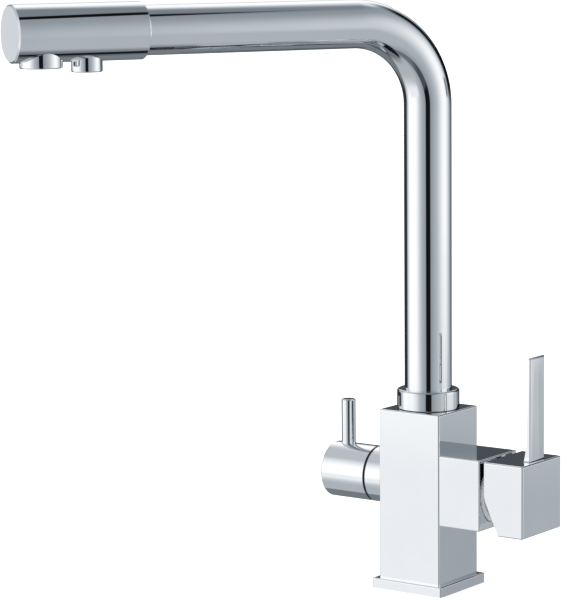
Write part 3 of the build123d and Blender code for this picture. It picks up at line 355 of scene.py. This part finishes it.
def tent_glow(wire):
    """How bright the tent is in each direction. azimuth = atan2(right, front) and height = asin(up), for the
    parts of the direction to the camera's right, toward the camera and up."""
    from_centre = wire.node("VectorMath", {"operation": "SUBTRACT"}, {0: wire.spot(), 1: TENT_CENTRE})
    direction = wire.node("VectorMath", {"operation": "NORMALIZE"}, {0: from_centre})
    right = direction.part((np.cos(TURN), np.sin(TURN), 0))
    front = direction.part((np.sin(TURN), -np.cos(TURN), 0))
    up = direction.part((0, 0, 1))
    azimuth = wire.maths("ARCTAN2", right, front) * DEGREES
    height = wire.maths("ARCSINE", up) * DEGREES
    away = wire.maths("ABSOLUTE", azimuth)

    # cloth: dimmer overhead, then the table's light, then the tap's own shade, then dimmer round the camera
    glow = 0.43 - 0.12 * height.rise(0, 50) - 0.08 * height.rise(58, 69)
    glow = glow.blend(0.46, height.rise(-8, -30))
    glow = glow.blend(0.19, height.rise(-56, -74))
    glow = glow * (1 - 0.28 * away.rise(34, 8))
    glow = lay_panels(glow, azimuth, height, LIGHT_PANELS)

    # dark gap behind: on the right it starts slowly, on the left with an edge that steps back above level
    left_edge = (-azimuth - (121 + 10 * height.rise(0, 2))).rise(0, 4)
    gap = wire.maths("MAXIMUM", azimuth.rise(112, 160), left_edge) * height.rise(28, 9)
    thinner_below = 0.6 + 0.4 * height.rise(-27, -11)
    glow = glow.blend(0.035 + 0.045 * height.rise(-4, 8), gap * thinner_below)

    # table behind the tap in the tap's painted shade, then the small patches, then the softbox high at the
    # back, wider at its top
    # painted shade: the table behind the tap is dark, darker near level than steeply below
    foot_shade_tone = 0.115 + 0.1 * height.rise(-34, -46)
    glow = glow.blend(foot_shade_tone, azimuth.between(146, 180, 10, 1) * height.between(-62, -16, 4, 6))
    glow = lay_panels(glow, azimuth, height, PATCHES)
    from_back = 180 - away - 26 * height.rise(48, 60)
    glow = glow.blend(0.97, from_back.rise(38, 10) * height.between(28, 46, 18, 28))

    # black card round the camera, greyer in its lower half
    card_tone = 0.008 + 0.07 * height.rise(-11, -16) + 0.09 * height.rise(-26, -44)
    glow = glow.blend(card_tone, azimuth.between(-11, 7, 3, 4) * height.between(-62, 30, 8, 10))

    # black beam: a strip between two ratios of right to up, from overhead to the camera's side
    lift = wire.maths("MAXIMUM", up, 0.001)
    beam = (right / lift).between(0.32, 0.408, 0.03, 0.03) * (front / lift).rise(-0.06, 0.12)
    return glow.blend(0.006, beam * up.rise(0.3, 0.5))


tent_cloth, wire = new_material("tent_cloth")
tent_light = {"Color": tent_glow(wire).cool(), "Strength": TENT_STRENGTH}
wire.node("OutputMaterial", None, {"Surface": wire.node("Emission", None, tent_light)})
tent_cloth.cycles.emission_sampling = "NONE"
around = np.linspace(-np.pi / 2, np.pi / 2, TENT_ROWS)
tent_line = np.stack([TENT_RADIUS * np.cos(around), TENT_RADIUS * np.sin(around)], 1)
tent = turned("light_tent", tent_line, np.array(TENT_CENTRE) / MM, UP, ring=False)
tent.data.materials.append(tent_cloth)
tent.visible_camera = tent.visible_diffuse = tent.visible_shadow = tent.visible_transmission = False
print("tent of", len(tent.data.polygons), "faces,", len(tent_cloth.node_tree.nodes), "nodes")

# %% [markdown]
# The faces on the mixer's side look down at the table behind them, and a strip of it is grey. The tent is
# too far off for that: the upright tube looks the same way and would see the same part of it. So the strip
# is a sheet of its own on the table, near the tap. It glows grey and only reflections see it: painted light
# that stands for the table's light, brighter farther out. It ends before the place that the taller tube
# sees, so the tube still shows the softbox. Its edges fade, so that no line crosses the chrome.

# %% Grey strip on the table
STRIP_END = 950.0                       # mm from the tap's axis
STRIP_THICK = 2.0                       # mm
STRIP_ROUNDING = 0.5                    # mm
STRIP_ACROSS, STRIP_ALONG = (0.848, -0.53, 0), (0.53, 0.848, 0)     # directions on the table

glowing_grey_strip, wire = new_material("glowing_grey_strip")
spot = wire.spot()
across = spot.part(STRIP_ACROSS)
along = spot.part(STRIP_ALONG)
# painted light: the strip's glow stands for the table's light, brighter farther out and to one side
strip_glow_tone = 0.41 + 0.06 * across.rise(0.033, 0.043) + 0.1 * along.rise(0.3, 0.7)
strip_glow = wire.node("Emission", None, {"Color": strip_glow_tone.cool(), "Strength": 1.0})
strip_mask = across.between(-0.01, 0.085, 0.02, 0.03) * along.between(0.0, 0.8, 0.01, 0.14)
strip_mix = {0: strip_mask, 1: wire.node("BsdfTransparent"), 2: strip_glow}
wire.node("OutputMaterial", None, {"Surface": wire.node("MixShader", None, strip_mix)})
glowing_grey_strip.cycles.emission_sampling = "NONE"
strip_corners = [(0, -STRIP_THICK), (STRIP_END, -STRIP_THICK), (STRIP_END, 0), (0, 0)]
strip_line = outline(strip_corners, [0, STRIP_ROUNDING, STRIP_ROUNDING, 0], ring=False)
strip = turned("table_strip", strip_line, (0, 0, 0), UP, ring=False)
strip.data.materials.append(glowing_grey_strip)
strip.visible_camera = strip.visible_diffuse = strip.visible_shadow = strip.visible_transmission = False
print("grey strip", STRIP_END, "mm long")

# %% [markdown]
# The floor is a broad disc of plain white paper, bright enough to be clean white in the picture, with a
# faint shade where the plate meets it. A plane would do, but paper has a rim. Reflections don't see it,
# because the tent already says what they see.

# %% Floor
FLOOR_RADIUS = 9000.0                   # mm
PAPER_THICK = 4.0                       # mm
PAPER_ROUNDING = 1.5                    # mm
PAPER_GLOW = 0.45

paper, wire = new_material("paper_floor")
paper_grain = wire.node("TexNoise", None, {"Vector": wire.spot(), "Scale": 40.0, "Detail": 4.0})
paper_finish = {
    "Base Color": paper_grain.tint((0.93, 0.93, 0.935), (0.96, 0.96, 0.96)),
    "Roughness": 1.0,
    "Specular IOR Level": 0.0,
    "Emission Color": (*WHITE, 1.0),
    "Emission Strength": PAPER_GLOW,
}
paper_light = wire.node("BsdfPrincipled", None, paper_finish)
wire.node("OutputMaterial", None, {"Surface": paper_light})
floor_corners = [(0, 0), (FLOOR_RADIUS, 0), (FLOOR_RADIUS, -PAPER_THICK), (0, -PAPER_THICK)]
floor_line = outline(floor_corners, [0, PAPER_ROUNDING, PAPER_ROUNDING, 0], ring=False, steps=4)
floor = turned("floor", floor_line, (0, 0, 0), UP, ring=False)
floor.data.materials.append(paper)
floor.visible_glossy = False
print("floor", FLOOR_RADIUS * MM, "m in radius")

# %% [markdown]
# Two lamps and the world's even light are for the parts that aren't metal, and for the paper. They stay out
# of the reflections too. The view transform is Standard, which keeps the tones as they are worked out here.

# %% World and lamps
world = bpy.data.worlds.new("studio_world")
world.use_nodes = True
world.node_tree.nodes.clear()
wire = Wire(world.node_tree)
sky = wire.node("Background", None, {"Color": (*WHITE, 1.0), "Strength": 1.0})
wire.node("OutputWorld", None, {"Surface": sky})
bpy.context.scene.world = world
world.cycles_visibility.glossy = False
bpy.context.scene.view_settings.view_transform = "Standard"


def lamp(name, place, size, watts):
    """A square area lamp that looks at the tent's middle. back = (place - middle) made one long, and
    right = up x back made one long."""
    light = bpy.data.lights.new(name, "AREA")
    light.size, light.energy = size, watts
    made = bpy.data.objects.new(name, light)
    bpy.context.scene.collection.objects.link(made)
    back = np.array(place) - TENT_CENTRE
    back /= np.linalg.norm(back)
    right = np.cross(UP, back)
    right /= np.linalg.norm(right)
    made.matrix_world = placement(right, np.cross(back, right), back, place)
    made.visible_glossy = made.visible_camera = False


lamp("left_lamp", place=(-0.9, -1.3, 1.1), size=1.0, watts=9.0)
lamp("right_lamp", place=(1.5, 0.2, 0.9), size=0.8, watts=5.0)
print("world and two lamps")

# %% [markdown]
# ## Finishes
#
# A finish is a colour with a little change in it, a gloss with a little change in it, and a very small
# relief. `finish` makes one from those three. The relief is in metres, as the real one is.

# %% The finish helper
finishes = {}
NOISE_ROUGHNESS = 0.55


def new_finish(slot):
    """An empty material, kept under its slot's name, and the start of its tree."""
    finishes[slot], wire = new_material(slot + "_finish")
    return wire


def finish(wire, colours, mask, roughness, gloss_mask, relief, depth, metallic=0.0):
    """Fills a material. Colour = the mask's tint between two colours, roughness = low + (high - low) x gloss
    mask, and the normal comes from the relief, whose 0 to 1 is `depth` metres high."""
    low, high = roughness
    values = {
        "Base Color": mask.tint(*colours),
        "Roughness": low + (high - low) * gloss_mask,
        "Metallic": metallic,
        "Normal": wire.node("Bump", None, {"Height": relief, "Strength": 1.0, "Distance": depth}),
    }
    wire.node("OutputMaterial", None, {"Surface": wire.node("BsdfPrincipled", None, values)})


def noise(wire, stretch, detail=3.0):
    """Noise on the piece's own place. stretch is the number of features in a metre: one number, or one each
    for X, Y and Z."""
    scale = stretch if isinstance(stretch, tuple) else (stretch, stretch, stretch)
    spot = wire.node("Mapping", None, {"Vector": wire.spot(), "Scale": scale})
    return wire.node(
        "TexNoise", None, {"Vector": spot, "Scale": 1.0, "Detail": detail, "Roughness": NOISE_ROUGHNESS}
    )


print("helpers: new_finish, finish, noise")

# %% [markdown]
# ### Chrome plate
#
# Polished brass under a thin bright plate. The plate is a little blue. What tells it from a perfect mirror
# is small: the polishing wheel leaves the faces a thousandth of a millimetre out of true, a cloth leaves
# hair lines in the gloss, and a dry haze changes it from place to place. One metallic shader with one
# roughness would do from afar, but near by it looks drawn, and a deeper relief looks like hammered tin.

# %% Chrome plate
wire = new_finish("chrome_plate")
haze = noise(wire, 38.0, detail=5.0)
cloth_lines = noise(wire, (900.0, 760.0, 60.0), detail=2.0).rise(0.56, 0.74)
wheel_waves = noise(wire, (44.0, 44.0, 30.0), detail=1.0)
finish(
    wire, colours=((0.93, 0.945, 0.96), (0.955, 0.965, 0.975)), mask=haze.rise(0.3, 0.7),
    roughness=(0.008, 0.03), gloss_mask=haze.rise(0.35, 0.8) * 0.5 + cloth_lines * 0.5,
    relief=wheel_waves, depth=1.2 * MICRON, metallic=1.0,
)
print("chrome_plate:", len(finishes["chrome_plate"].node_tree.nodes), "nodes")

# %% [markdown]
# ### Satin chrome
#
# The ring behind the handle stands in the handle's shade, where polished chrome shows little but black. A
# ring that is blasted before it is plated is dull instead, and spreads what light there is. Its grain could
# be a deep relief, but it is finer than a pixel, so most of it is in the roughness. The metallic value is
# low, so that a part of the light comes back evenly, as from a grey surface.

# %% Satin chrome
wire = new_finish("satin_chrome")
blasted = noise(wire, 3200.0)
cloud = noise(wire, 70.0, detail=4.0)
finish(
    wire, colours=((0.58, 0.6, 0.62), (0.7, 0.715, 0.735)), mask=cloud.rise(0.3, 0.7),
    roughness=(0.3, 0.42), gloss_mask=cloud * 0.6 + blasted * 0.4,
    relief=blasted, depth=4.0 * MICRON, metallic=0.35,
)
print("satin_chrome:", len(finishes["satin_chrome"].node_tree.nodes), "nodes")

# %% [markdown]
# ### Turned brass
#
# The turned parts inside and below are plain brass. The tool leaves fine rings on them, and handling leaves
# duller patches. The rings could be modelled, but they are finer than a pixel, so they are noise that is
# short along the upright axis and long across it.

# %% Turned brass
wire = new_finish("turned_brass")
patches = noise(wire, 55.0, detail=5.0)
tool_rings = noise(wire, (420.0, 420.0, 2600.0), detail=2.0)
finish(
    wire, colours=((0.60, 0.42, 0.17), (0.80, 0.62, 0.32)), mask=patches.rise(0.25, 0.75),
    roughness=(0.2, 0.42), gloss_mask=patches * 0.4 + tool_rings * 0.6,
    relief=tool_rings + patches * 0.5, depth=10.0 * MICRON, metallic=1.0,
)
print("turned_brass:", len(finishes["turned_brass"].node_tree.nodes), "nodes")

# %% [markdown]
# ### Bright steel
#
# The washer, the screws, the clip and the pivot pin are steel. Rolling and drawing leave a grain in it, so
# its noise is the other way round: long along the upright axis and short across it. Blender could stretch
# the highlights instead, with an anisotropic shader, but on such small parts a grain in colour and gloss
# says more.

# %% Bright steel
wire = new_finish("stainless_steel")
drawn = noise(wire, (2400.0, 2400.0, 160.0))
stain = noise(wire, 90.0, detail=4.0)
finish(
    wire, colours=((0.52, 0.53, 0.55), (0.68, 0.69, 0.70)), mask=drawn * 0.6 + stain * 0.4,
    roughness=(0.2, 0.4), gloss_mask=drawn, relief=drawn, depth=6.0 * MICRON, metallic=1.0,
)
print("stainless_steel:", len(finishes["stainless_steel"].node_tree.nodes), "nodes")

# %% [markdown]
# ### Black rubber
#
# Seals are black rubber. It is dull, with a greyish bloom where its wax has come to the surface, and it has
# fine pores. An even black would do, but it looks like a hole, so the bloom changes both the colour and the
# gloss.

# %% Black rubber
wire = new_finish("black_rubber")
bloom = noise(wire, 300.0, detail=6.0)
pores = noise(wire, 5200.0, detail=2.0)
finish(
    wire, colours=((0.016, 0.016, 0.017), (0.045, 0.045, 0.046)), mask=bloom.rise(0.35, 0.75),
    roughness=(0.55, 0.8), gloss_mask=bloom, relief=pores + bloom * 0.4, depth=20.0 * MICRON,
)
print("black_rubber:", len(finishes["black_rubber"].node_tree.nodes), "nodes")

# %% [markdown]
# ### Moulded plastics
#
# Moulded plastic has faint flow marks in its colour and the even grain that the mould was sparked with. A
# picture of a grain could be wrapped round each part, but noise in space needs no unwrapping. The three
# plastics differ only in colour and gloss, so one function makes them.

# %% Moulded plastics


def moulded(slot, dark, light, roughness):
    """Moulded plastic: flow marks of about 10 mm in the colour, and a grain of 0.2 mm in the relief."""
    wire = new_finish(slot)
    flow = noise(wire, (120.0, 120.0, 60.0), detail=4.0)
    grain = noise(wire, 4200.0, detail=2.0)
    finish(
        wire, colours=(dark, light), mask=flow.rise(0.2, 0.8),
        roughness=roughness, gloss_mask=grain * 0.7 + flow * 0.3, relief=grain, depth=12.0 * MICRON,
    )


moulded("black_plastic", dark=(0.018, 0.018, 0.02), light=(0.034, 0.034, 0.037), roughness=(0.32, 0.5))
moulded("grey_plastic", dark=(0.36, 0.37, 0.39), light=(0.46, 0.47, 0.49), roughness=(0.38, 0.55))
moulded("white_plastic", dark=(0.76, 0.76, 0.74), light=(0.86, 0.86, 0.84), roughness=(0.35, 0.5))
print("moulded plastics:", ", ".join(slot for slot in finishes if slot.endswith("plastic")))

# %% [markdown]
# ### Lapped ceramic
#
# The valves' discs are alumina, ground and then lapped until two of them hold water between bare faces.
# They are the glossiest thing here after the chrome, and a little cream in colour. Light goes a short way
# into real alumina, and a shader can do that too, but for thin discs inside a tap a faint speckle is
# enough.

# %% Lapped ceramic
wire = new_finish("white_ceramic")
speckle = noise(wire, 1500.0, detail=4.0)
lap = noise(wire, 260.0)
finish(
    wire, colours=((0.80, 0.785, 0.74), (0.90, 0.89, 0.86)), mask=speckle.rise(0.3, 0.7),
    roughness=(0.08, 0.2), gloss_mask=lap, relief=speckle, depth=2.0 * MICRON,
)
print("finishes:", ", ".join(finishes))

# %% [markdown]
# Each CAD node has one material slot. They could be filled one by one, but among so many lines a mistake
# would hide. The record says which finish each piece is in, so one table does all of them, and no piece can
# be forgotten.

# %% Finishes on the CAD nodes
slot_of = {part["node"]: part["material_slot"] for part in frame["record"]["subparts"]}
for name, slot in slot_of.items():
    for holder in cad[name].material_slots:
        holder.material = finishes[slot]
print({name: sum(slot == name for slot in slot_of.values()) for name in finishes})

# %% [markdown]
# ## The bent spout tube
#
# A chromed tube of 28 mm, up, round a bend and along. It could be a curve with a round bevel, but its wall
# has to be real at the ends, so the section is carried along a path as one closed surface: out along the
# outer wall and back along the inner one. The rows are close together in the bend, where a coarse mesh
# would show in the reflections, and a row just inside each cut end keeps the shading from running round its
# edge.

# %% Bent tube
ARM_TURN = np.radians(29.5)
ARM = np.array([-np.sin(ARM_TURN), -np.cos(ARM_TURN), 0.0])
ARM_SIDE = np.cross(UP, ARM)
ARM_HEIGHT, BEND = 335.3, 48.0          # mm, from here on all sizes are
TUBE, TUBE_WALL = 14.0, 1.2
RISER_FOOT, TUBE_REACH = 110.05, 199.0
CUT_END, NEAR_END = 0.05, 1.0           # from a cut end to the next two rows
RISER_START = 10.0                      # from the riser's foot to the first of its even rows
STRAIGHT_ROWS, BEND_ROWS = 24, 73

riser_length = ARM_HEIGHT - BEND - RISER_FOOT
bend_length = BEND * np.pi / 2
arm_length = TUBE_REACH - BEND


def spout_path(length):
    """Place and inward direction on the path, for an array of lengths. The turn is the length past the
    riser's top over the bend's radius, held between 0 and 90 degrees. height = foot + the riser's part of
    the length + R sin turn, reach = R (1 - cos turn) + the arm's part of the length, and
    inward = arm cos turn - up sin turn."""
    turn = np.clip((length - riser_length) / BEND, 0, np.pi / 2)[:, None]
    left = np.maximum(length - riser_length - bend_length, 0)[:, None]
    height = RISER_FOOT + np.minimum(length, riser_length)[:, None] + BEND * np.sin(turn)
    reach = BEND * (1 - np.cos(turn)) + left
    return ARM * reach + UP * height, ARM * np.cos(turn) - UP * np.sin(turn)


def bent_tube(name, outer, inner, lengths, spokes):
    """Tube wall on the spout's path: centre + r (inward cos a + side sin a), r = outer on the way out and
    inner on the way back."""
    centre, inward = spout_path(lengths)
    a = np.linspace(0, 2 * np.pi, spokes, endpoint=False)[None, :, None]
    spoke = inward[:, None] * np.cos(a) + ARM_SIDE * np.sin(a)
    way_out, way_back = (centre[:, None] + radius * spoke for radius in (outer, inner))
    return grid_mesh(name, np.concatenate([way_out, way_back[::-1]]), ring_rows=True)


riser_even = np.linspace(RISER_START, riser_length - NEAR_END, STRAIGHT_ROWS)
riser_rows = np.concatenate([[0, CUT_END, NEAR_END], riser_even])
bend_rows = riser_length + np.linspace(0, bend_length, BEND_ROWS)
arm_even = np.linspace(NEAR_END, arm_length - NEAR_END, STRAIGHT_ROWS)
arm_rows = riser_length + bend_length + np.concatenate([arm_even, [arm_length - CUT_END, arm_length]])
tube_lengths = np.concatenate([riser_rows, bend_rows, arm_rows])
spout_tube = bent_tube("bent_spout_tube", TUBE, TUBE - TUBE_WALL, tube_lengths, spokes=96)
spout_tube.data.materials.append(finishes["chrome_plate"])
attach(spout_tube, "spout")
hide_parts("spout_tube")
print("bent tube:", len(spout_tube.data.polygons), "faces")

# %% [markdown]
# ## Turned pieces
#
# The collar, the ring behind the handle and the pin lever come off a lathe. A CAD mesh of them would do for
# the shape, but its edges have few facets. A profile carried round the axis gives them true round edges,
# which is what makes chrome look like metal: an edge without a radius has no highlight.
#
# The collar sits at the spout's foot and turns with it. It is a plain ring with a generous rounding at its
# top, and it stands a fraction of a millimetre clear of the column, so that it can turn.

# %% Collar
COLLAR_INNER, COLLAR_OUTER = 14.05, 18.5
COLLAR_FOOT, COLLAR_TOP = 108.1, 119.4
COLLAR_EDGES = [0.15, 0.3, 1.5, 0.25]   # rounding at inner foot, outer foot, outer top and inner top

collar_line = ring_profile(COLLAR_INNER, COLLAR_OUTER, COLLAR_FOOT, COLLAR_TOP, COLLAR_EDGES, steps=12)
collar = turned("spout_collar_ring", collar_line, (0, 0, 0), UP, spokes=128)
collar.data.materials.append(finishes["chrome_plate"])
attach(collar, "spout")
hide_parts("spout_collar")
print("collar:", len(collar.data.polygons), "faces")

# %% [markdown]
# The ring that covers the cartridge stands out from the housing into the gap behind the handle. Only a part
# of it shows there, and its rounded shoulder catches what light there is. It could stay a CAD mesh, but the
# shoulder is nearly all that can be seen of it, so it gets a smooth arc.

# %% Cartridge cover
CARTRIDGE_AXIS = 62.8                   # above the worktop
COVER_INNER, COVER_OUTER = 13.5, 18.8
COVER_START, COVER_END = 47.3, 50.6     # from the tap's axis
COVER_EDGES = [0.2, 0.3, 2.4, 0.6]      # rounding at inner start, outer start, outer end and inner end

cover_line = ring_profile(COVER_INNER, COVER_OUTER, COVER_START, COVER_END, COVER_EDGES, steps=14)
cover = turned("cartridge_cover_ring", cover_line, (0, 0, CARTRIDGE_AXIS), (1, 0, 0), spokes=128)
cover.data.materials.append(finishes["satin_chrome"])
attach(cover, "tap_body")
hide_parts("cartridge_cover")
print("cover:", len(cover.data.polygons), "faces")

# %% [markdown]
# The pin lever is a round pin with a thinner tenon, which goes into the filter knob. Its top edge is broken
# with a small radius, as on any pin that fingers push. The same lathe makes it, from a profile that starts
# and ends on the axis.

# %% Pin lever
PIN_REACH = 57.5                        # from the tap's axis
TENON_FOOT, PIN_FOOT, PIN_TOP = 69.0, 75.9, 107.4
TENON_RADIUS, PIN_RADIUS = 2.5, 4.3
PIN_EDGES = [0, 0.2, 0.1, 0.2, 0.8, 0]  # none on the axis, then tenon foot, shoulder, pin foot and pin top

pin_corners = [
    (0, TENON_FOOT), (TENON_RADIUS, TENON_FOOT), (TENON_RADIUS, PIN_FOOT),
    (PIN_RADIUS, PIN_FOOT), (PIN_RADIUS, PIN_TOP), (0, PIN_TOP),
]
pin_line = outline(pin_corners, PIN_EDGES, ring=False)
pin = turned("filter_lever_pin", pin_line, (-PIN_REACH, 0, 0), UP, spokes=64, ring=False)
pin.data.materials.append(finishes["chrome_plate"])
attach(pin, "filter_handle")
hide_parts("filter_pin_lever")
print("pin:", len(pin.data.polygons), "faces")

# %% [markdown]
# ## The mixer's blade
#
# The handle is a flat blade. Its outer face is plumb, and its inner face leans in to a thin tip and flares
# where it meets the block. A file has broken its edges, and the broken edge is the dark line that parts its
# two faces. A box with a bevel would keep one thickness, so the blade is built of levels, each a rectangle
# with corner arcs.

# %% Blade
BLADE_FACE = 75.2                       # outer face, from the tap's axis
BLADE_FOOT, FLARE_TOP, BLADE_TIP = 83.6, 99.6, 144.6
BLADE_HALF_WIDTH = 8.0
TIP_THICK, TAPER = 1.6, 1.0             # thickness at the tip, and what it gains from there to the flare
FLARE, FLARE_EASE = 2.0, 0.36           # gained by the square of the depth, and taken off evenly
LONG_EDGE, TIP_EDGE = 0.7, 0.5          # roundings
INNER_EDGE_SHARE = 0.6                  # of the long edges' rounding, for the two inner ones
LEAST_ARC = 0.02                        # so that no corner shrinks to one point at the tip


def blade_thickness(z):
    """tip thickness + taper x (tip - z) / (tip - flare's top) + flare x d x d - ease x d, where d is the
    depth below the flare's top over the flare's height. The ease takes off what the taper adds there."""
    depth = np.clip(FLARE_TOP - z, 0, None) / (FLARE_TOP - BLADE_FOOT)
    taper = TAPER * (BLADE_TIP - z) / (BLADE_TIP - FLARE_TOP)
    return TIP_THICK + taper + FLARE * depth ** 2 - FLARE_EASE * depth


def blade(name, levels=60, steps=8):
    """Level by level up the blade. A level's corner is centre + r (cos a, sin a) over its quarter of a turn,
    with a smaller r at the two inner corners. At the tip the rectangle shrinks by the tip edge x (1 - cos b)
    while it climbs the tip edge x sin b."""
    b = np.linspace(0, np.pi / 2, steps)
    tip_levels = BLADE_TIP - TIP_EDGE * (1 - np.sin(b))
    z = np.concatenate([np.linspace(BLADE_FOOT, BLADE_TIP - TIP_EDGE, levels), tip_levels])
    inset = np.concatenate([np.zeros(levels), TIP_EDGE * (1 - np.cos(b))])
    outer = BLADE_FACE - inset
    inner = BLADE_FACE - blade_thickness(z) + inset
    half = BLADE_HALF_WIDTH - inset
    edge = LONG_EDGE * np.array([1, INNER_EDGE_SHARE, INNER_EDGE_SHARE, 1])[:, None]
    r = np.clip(edge - inset, LEAST_ARC, None)[:, :, None]
    a = (np.linspace(0, np.pi / 2, steps) + np.arange(4)[:, None] * np.pi / 2)[:, None]
    outward = np.array([1, -1, -1, 1])[:, None, None]
    sideways = np.array([1, 1, -1, -1])[:, None, None]
    x = np.stack([outer, inner, inner, outer])[:, :, None] + r * (np.cos(a) - outward)
    y = np.stack([half, half, -half, -half])[:, :, None] + r * (np.sin(a) - sideways)
    corners = np.stack([x, y, np.broadcast_to(z[:, None], x.shape)], -1)
    rows = corners.transpose(1, 0, 2, 3).reshape(len(z), -1, 3)
    ends = np.broadcast_to(rows[[0, -1]].mean(1, keepdims=True), (2, rows.shape[1], 3))
    return grid_mesh(name, np.concatenate([ends[:1], rows, ends[1:]]))


mixer_blade = blade("mixer_blade")
mixer_blade.data.materials.append(finishes["chrome_plate"])
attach(mixer_blade, "mixer_handle")
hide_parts("handle_lever")
print("blade:", len(mixer_blade.data.polygons), "faces")

# %% [markdown]
# ## The threaded shank
#
# The shank that holds the tap to the worktop has an M33 thread of 1.5 mm pitch. A thread could be a screw
# modifier, but here it is one formula: the radius falls and rises once in each pitch, and the fall starts
# later as the angle grows, so that the valleys climb round the shank as one helix.

# %% Threaded shank
PITCH, THREAD_DEPTH = 1.5, 0.92
THREAD_FLAT = 0.125                     # cut off the sharp V at crest and at root, as a share of the depth
SHANK_FOOT, SHANK_TOP = -58.0, 22.0
SHANK_BORE, SHANK_OUTER = 14.8, 16.5    # radii
SHANK_BEVEL, TOP_ROW = 0.6, 0.05


def threaded_shank(name, spokes=72, rows_per_pitch=8):
    """radius = outer - depth x valley. valley = 1 - |2 frac(height / pitch - a / 2 pi) - 1|, stretched and
    cut off so that crest and root are flat, and faded to nothing over the first and last pitch. Four more
    rows make the top, the bore and the bevelled foot."""
    a = np.linspace(0, 2 * np.pi, spokes, endpoint=False)[None, :]
    count = int((SHANK_TOP - SHANK_FOOT) / PITCH * rows_per_pitch)
    height = np.linspace(SHANK_FOOT + SHANK_BEVEL, SHANK_TOP - TOP_ROW, count)[:, None]
    valley = 1 - np.abs(2 * np.mod(height / PITCH - a / (2 * np.pi), 1.0) - 1)
    valley = np.clip(valley * (1 + 2 * THREAD_FLAT) - THREAD_FLAT, 0, 1)
    fade_in = np.clip((height - SHANK_FOOT - SHANK_BEVEL) / PITCH, 0, 1)
    fade_out = np.clip((SHANK_TOP - height) / PITCH, 0, 1)
    radius = SHANK_OUTER - THREAD_DEPTH * valley * fade_in * fade_out
    end_radius = np.array([SHANK_OUTER, SHANK_BORE, SHANK_BORE, SHANK_OUTER - SHANK_BEVEL])[:, None]
    end_height = np.array([SHANK_TOP, SHANK_TOP, SHANK_FOOT, SHANK_FOOT])[:, None]
    radius = np.concatenate([radius, end_radius + 0 * a])
    height = np.concatenate([height, end_height])
    grid = np.stack([radius * np.cos(a), radius * np.sin(a), height + 0 * a], -1)
    return grid_mesh(name, grid, ring_rows=True)


shank = threaded_shank("threaded_shank")
shank.data.materials.append(finishes["turned_brass"])
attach(shank, "tap_body")
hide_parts("mounting_shank")
print("shank:", len(shank.data.polygons), "faces")

# %% [markdown]
